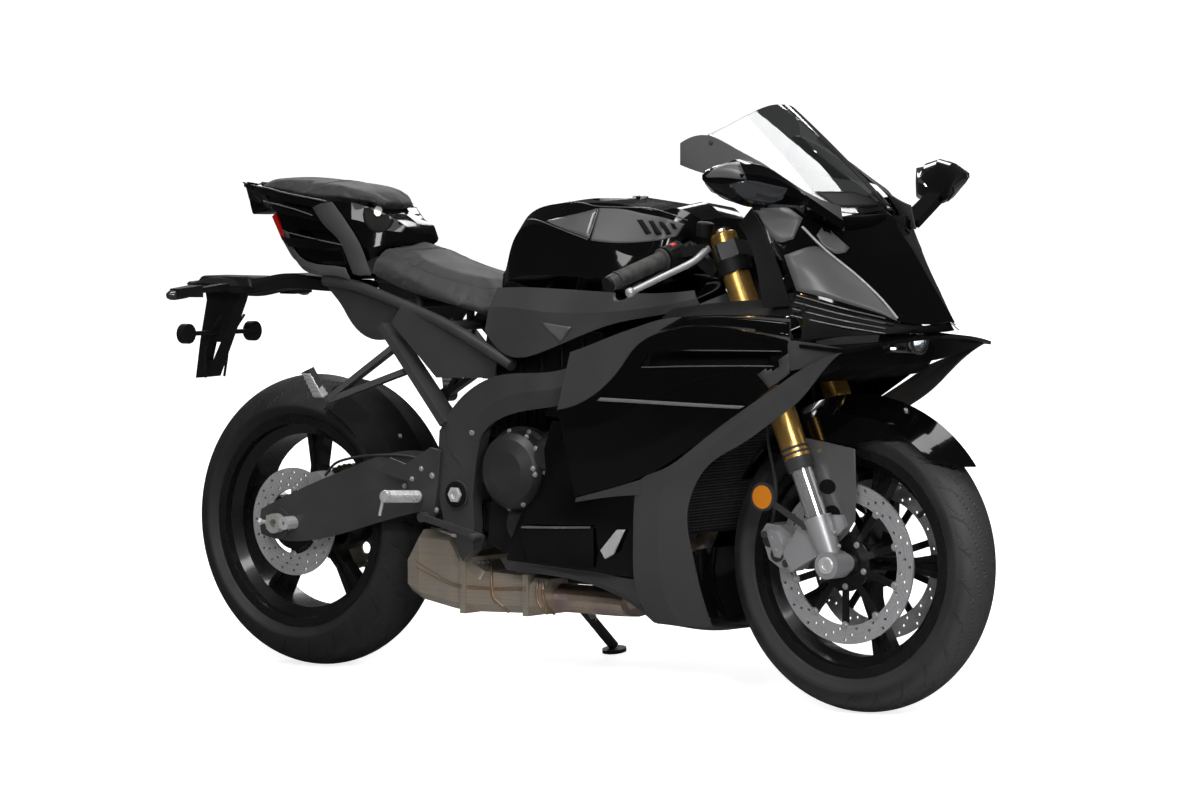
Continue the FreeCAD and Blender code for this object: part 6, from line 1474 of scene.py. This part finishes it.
def makeNoseDetails():
    for s, label in bothSides:
        rows = []
        for y, x, z, h, d in ((262, 1421, 1026, 34, 46), (290, 1398, 1037, 62, 80), (330, 1374, 1048, 80, 96),
                              (368, 1364, 1056, 64, 96), (388, 1362, 1061, 34, 92)):
            rows.append([(x - d / 2 - 1.4 + abs(t) * 1.5, s * y, z + h * 0.36 * t) for t in (-1, -0.5, 0, 0.5,
                1)])
        glass = bmesh.new()
        sheetFaces(glass, rows)
        turnOutward(glass, (-1, 0, 0))
        thickened(finishMesh(glass, "mirrorGlass" + label, "mirrorGlass", "frame", 60, True), 2, 1.0)
    ring = bmesh.new()
    turnedShape(ring, (1548, 0, 742), (1, 0, 0),
        [(0, 27.6), (2, 29.2), (7, 29.2), (8, 27.4), (6, 25.6), (4, 25.2)], 48, False)
    finishMesh(ring, "lampRing", "frame", "frame", 35)
    bowl = bmesh.new()
    turnedShape(bowl, (1520, 0, 742), (1, 0, 0), [(0, 3), (3, 9), (9, 16), (18, 22), (26, 25)], 40, False)
    thickened(finishMesh(bowl, "lampBowl", "chrome", "frame", 60), 1)
    turnedPiece("lampCore", (1522, 0, 742), (1, 0, 0), [(0, 6), (10, 6.5), (14, 5), (16, 2)],
        24, "white", "frame", 40)
    back = Vector((-0.72, 0, 0.69)).normalized()
    side = Vector((0, 1, 0))
    up = back.cross(side).normalized()
    middle = Vector((1231, 0, 1000)) + back * 9
    blockPiece("dashBezel", [(middle, (150, 66, 6), (side, up, back))], "moulded", "frame", 2.6, 3)
    blockPiece("dashDisplay", [(middle + back * 3.2, (128, 50, 1.6), (side, up, back))], "smoke", "frame", 0.6)


makeNoseDetails()
panelPair("screenApron", [[(1474, 0, 990), (1440, -70, 984), (1396, -118, 990), (1330, -148, 1024)],
                          [(1452, 0, 962), (1420, -66, 960), (1384, -110, 972), (1322, -142, 1010)],
                          [(1404, 0, 934), (1380, -58, 938), (1350, -100, 952), (1300, -132, 984)],
                          [(1330, 0, 936), (1322, -50, 940), (1300, -90, 952), (1268, -124, 978)]],
          "moulded", outward=(-0.2, 0, 1), wall=2)


# Engine: bolts round the covers' rims, fins of the radiator and the hoses

def makeEngineDetails():
    for name, centre, radius, count, y, s in (("clutchRim", (664, 456), 84, 10, -147.5, -1),
                                              ("generatorRim", (772, 420), 74, 9, 147.5, 1)):
        places = [Vector((centre[0] + radius * math.sin(a), y, centre[1] + radius * math.cos(a)))
                  for a in (2 * math.pi * (k + 0.5) / count for k in range(count))]
        hits = [onto(frame["nodes"]["engine_covers"], p + Vector((0, s * 80, 0)), (0, -s, 0), 0.14)
                for p in places]
        makeBolts(name + "Bolts", [hit[0] for hit in hits if hit], (0, s, 0), 4.2, "frame", False, 1.3)
    fins = bmesh.new()
    low = Vector((1052, 0, 345))
    high = Vector((1118, 0, 640))
    up = (high - low).normalized()
    ahead = Vector((up.z, 0, -up.x))
    for k in range(46):
        middle = low.lerp(high, (k + 1.5) / 49) + ahead * 18.6
        block(fins, middle, (1.4, 296, 1.6), (ahead, (0, 1, 0), up))
    finishMesh(fins, "radiatorFins", "cover", "frame", 0)
    tubes = bmesh.new()
    for k in range(23):
        middle = low.lerp(high, (2 * k + 2.5) / 49) + ahead * 18.2
        block(tubes, middle, (1.2, 300, 2.6), (ahead, (0, 1, 0), up))
    finishMesh(tubes, "radiatorTubes", "frame", "frame", 0)
    makeRods("coolantHose", [[(1060, -150, 392), (1010, -150, 372), (900, -140, 352), (780, -136, 342),
                              (690, -134, 344)]], 13, "grip", "frame", False, 20, 8)
    makeRods("brakeHose", [[tuple(forkPoint(118, -84, -128)), tuple(forkPoint(190, -86, -84)),
                            tuple(forkPoint(300, -84, -62)), tuple(forkPoint(420, -70, -10))]], 3.4, "grip",
             "steering", True, 10, 8)
    makeRods("brakeLine", [[(98, -96, 420), (150, -112, 452), (260, -124, 470), (380, -134, 470),
        (470, -140, 440)]], 3.0, "grip", "frame", False, 10, 8)
    springs = bmesh.new()
    pivot = Vector((548, 128, 212))
    down = (Vector((594, 272, 40)) - pivot).normalized()
    a = pivot + down * 52 + Vector((22, 0, 0))
    b = pivot + down * 132 + Vector((16, 0, 0))
    way = b - a
    u, v = frameAlong(way)
    turns = 18
    points = [a + way * (0.12 + 0.76 * k / (turns * 10)) + (u * math.cos(2 * math.pi * k / 10)
                                                            + v * math.sin(2 * math.pi * k / 10)) * 6
              for k in range(turns * 10 + 1)]
    tubeAlong(springs, [a] + points + [b], 1.3, 6)
    finishMesh(springs, "standSpring", "steel", "side_stand", 60)


makeEngineDetails()


# Tail: the lamp hump over the plate holder, the indicators and the holder's ribs

def makeTailDetails():
    hump = bmesh.new()
    block(hump, (-238, 0, 826), (176, 104, 26), taper=0.8)
    block(hump, (-262, 0, 812), (140, 74, 22))
    bevelled(finishMesh(hump, "plateHump", "moulded", "frame", 30), 7.0, 4)
    blockPiece("plateLamp", [((-316, 0, 812), (12, 56, 9))], "smoke", "frame", 2.0, 3)
    for s, label in bothSides:
        pods = bmesh.new()
        root = Vector((-214, s * 170, 807))
        tip = Vector((-236, s * 230, 800))
        turnedShape(pods, root, tip - root, [(0, 6), (8, 9.5), (20, 11.4), (44, 12), (56, 10.5), (63, 6.5),
            (65, 2)], 24)
        finishMesh(pods, "indicator" + label, "smoke", "frame", 45)
        ribs = bmesh.new()
        tubeAlong(ribs, [(-300, s * 37, 700), (-303, s * 36, 655), (-306, s * 30, 614)], 3.0, 8)
        tubeAlong(ribs, [(-252, s * 37, 752), (-276, s * 38, 725), (-300, s * 37, 700)], 3.0, 8)
        finishMesh(ribs, "plateRibs" + label, "moulded", "frame", 60)
        turnedPiece("pivotNut" + label, (508, s * 157.5, 400), (0, s, 0),
            [(0, 17), (7, 17), (8.4, 15.4), (8.4, 9), (4, 8.4), (4, 1)], 6, "billet", "frame", 30)
        # The dark recess round each pivot nut is painted shade.
        turnedPiece("pivotRecess" + label, (508, s * 157.8, 400), (0, s, 0),
            [(0, 27.5), (1.6, 27.5), (2.2, 26.5), (2.2, 17), (1.0, 16.6), (1.0, 2)], 40, "paintedShade", "frame", 30)
        hit = onto(frame["nodes"]["main_frame"], (756, s * 320, 579), (0, -s, 0), 0.3)
        if hit:
            cap = bmesh.new()
            turnedShape(cap, hit[0] - Vector((0, s * 2, 0)), (0, s, 0), [(0, 21), (9, 21), (11, 19), (11, 12),
                                                                         (7, 11.4), (7, 1)], 6)
            bevelled(finishMesh(cap, "beamCap" + label, "castGrey", "frame", 30), 0.8)
    links = bmesh.new()
    for s in (-1, 1):
        block(links, (-3, s * 134, 315), (64, 9, 30))
        turnedShape(links, (-36, s * 134, 315), (-1, 0, 0), [(0, 5), (16, 5), (16.5, 8), (22, 8), (23, 6)], 6)
    bevelled(finishMesh(links, "axleAdjusters", "billet", "frame", 30), 1.2)


makeTailDetails()
print("details made")


# Studio: floor, lights and the camera at the photograph's angle

studio = {"floorReach": 60.0, "floorGlow": 0.82, "sunPower": 0.75, "skyGlow": 0.97, "skyBase": 0.05}
# Each box lamp: its place, what it faces, its width and height, and its power.
boxLamps = {"topBox": ((0.5, -0.3, 3.6), (0.2, 0, 0.4), 3.4, 1.0, 85),
            "sideBox": ((1.2, -4.0, 3.4), (0.5, 0, 0.5), 2.4, 0.5, 60),
            "frontBox": ((3.6, -2.4, 2.4), (0.7, 0, 0.5), 1.2, 0.8, 80),
            "backBox": ((-2.4, 3.6, 2.8), (0, 0, 0.5), 4.0, 1.0, 60)}


def makeFloor():
    reach = studio["floorReach"]
    mesh = bpy.data.meshes.new("studioFloor")
    corners = [(-reach, -reach, 0), (reach, -reach, 0), (reach, reach, 0), (-reach, reach, 0)]
    mesh.from_pydata(corners, [], [(0, 1, 2, 3)])
    floor = linked("studioFloor", mesh)
    material, tree, shader, place = newMaterial("paleStudioFloor")
    grain = groupNode(tree, "grain", {"Vector": place, "Scale": 3.0, "Coarse Share": 0.2})
    path = addNode(tree, "ShaderNodeLightPath")
    pale = blendColour(tree, grain.outputs["Height"], (0.86, 0.86, 0.86), (0.9, 0.9, 0.9))
    tree.links.new(blendColour(tree, path.outputs["Is Glossy Ray"], pale, (0.13, 0.13, 0.13)),
                   shader.inputs["Base Color"])
    shader.inputs["Roughness"].default_value = 0.9
    shader.inputs["Specular IOR Level"].default_value = 0.1
    shader.inputs["Emission Color"].default_value = (1.0, 1.0, 1.0, 1.0)
    tree.links.new(mathNode(tree, "MULTIPLY", path.outputs["Is Camera Ray"], studio["floorGlow"]),
        shader.inputs["Emission Strength"])
    mesh.materials.append(material)


def makeLight(name, place, target, width, height, power):
    data = bpy.data.lights.new(name, "AREA")
    data.shape = "RECTANGLE"
    data.size = width
    data.size_y = height
    data.energy = power
    lamp = linked(name, data)
    lamp.location = place
    lamp.rotation_mode = "QUATERNION"
    lamp.rotation_quaternion = (Vector(target) - Vector(place)).to_track_quat("-Z", "Y")
    lamp.visible_camera = False


def makeStudio():
    makeFloor()
    for name, values in boxLamps.items():
        makeLight(name, *values)
    data = bpy.data.lights.new("softSun", "SUN")
    data.energy = studio["sunPower"]
    data.angle = math.radians(40)
    linked("softSun", data).rotation_euler = (math.radians(12), math.radians(8), 0)
    world = bpy.data.worlds.new("paleStudio")
    world.use_nodes = True
    tree = world.node_tree
    seen = addNode(tree, "ShaderNodeLightPath").outputs["Is Camera Ray"]
    tree.nodes["Background"].inputs["Color"].default_value = (1.0, 1.0, 1.0, 1.0)
    strength = mathNode(tree, "ADD", mathNode(tree, "MULTIPLY", seen, studio["skyGlow"]), studio["skyBase"])
    tree.links.new(strength, tree.nodes["Background"].inputs["Strength"])
    bpy.context.scene.world = world
    bpy.context.scene.view_settings.view_transform = "Standard"


def makeCamera():
    data = bpy.data.cameras.new("photoCamera")
    data.lens = viewFacts["lens"]
    data.sensor_width = viewFacts["sensor"]
    data.clip_start = 0.1
    data.clip_end = 300.0
    camera = linked("photoCamera", data)
    turn = Matrix((viewRight, viewUp, -viewLook)).transposed().to_4x4()
    camera.matrix_world = parked @ Matrix.Translation(viewFacts["place"] / 1000) @ turn
    bpy.context.scene.camera = camera


makeStudio()
makeCamera()
print("studio and camera made")
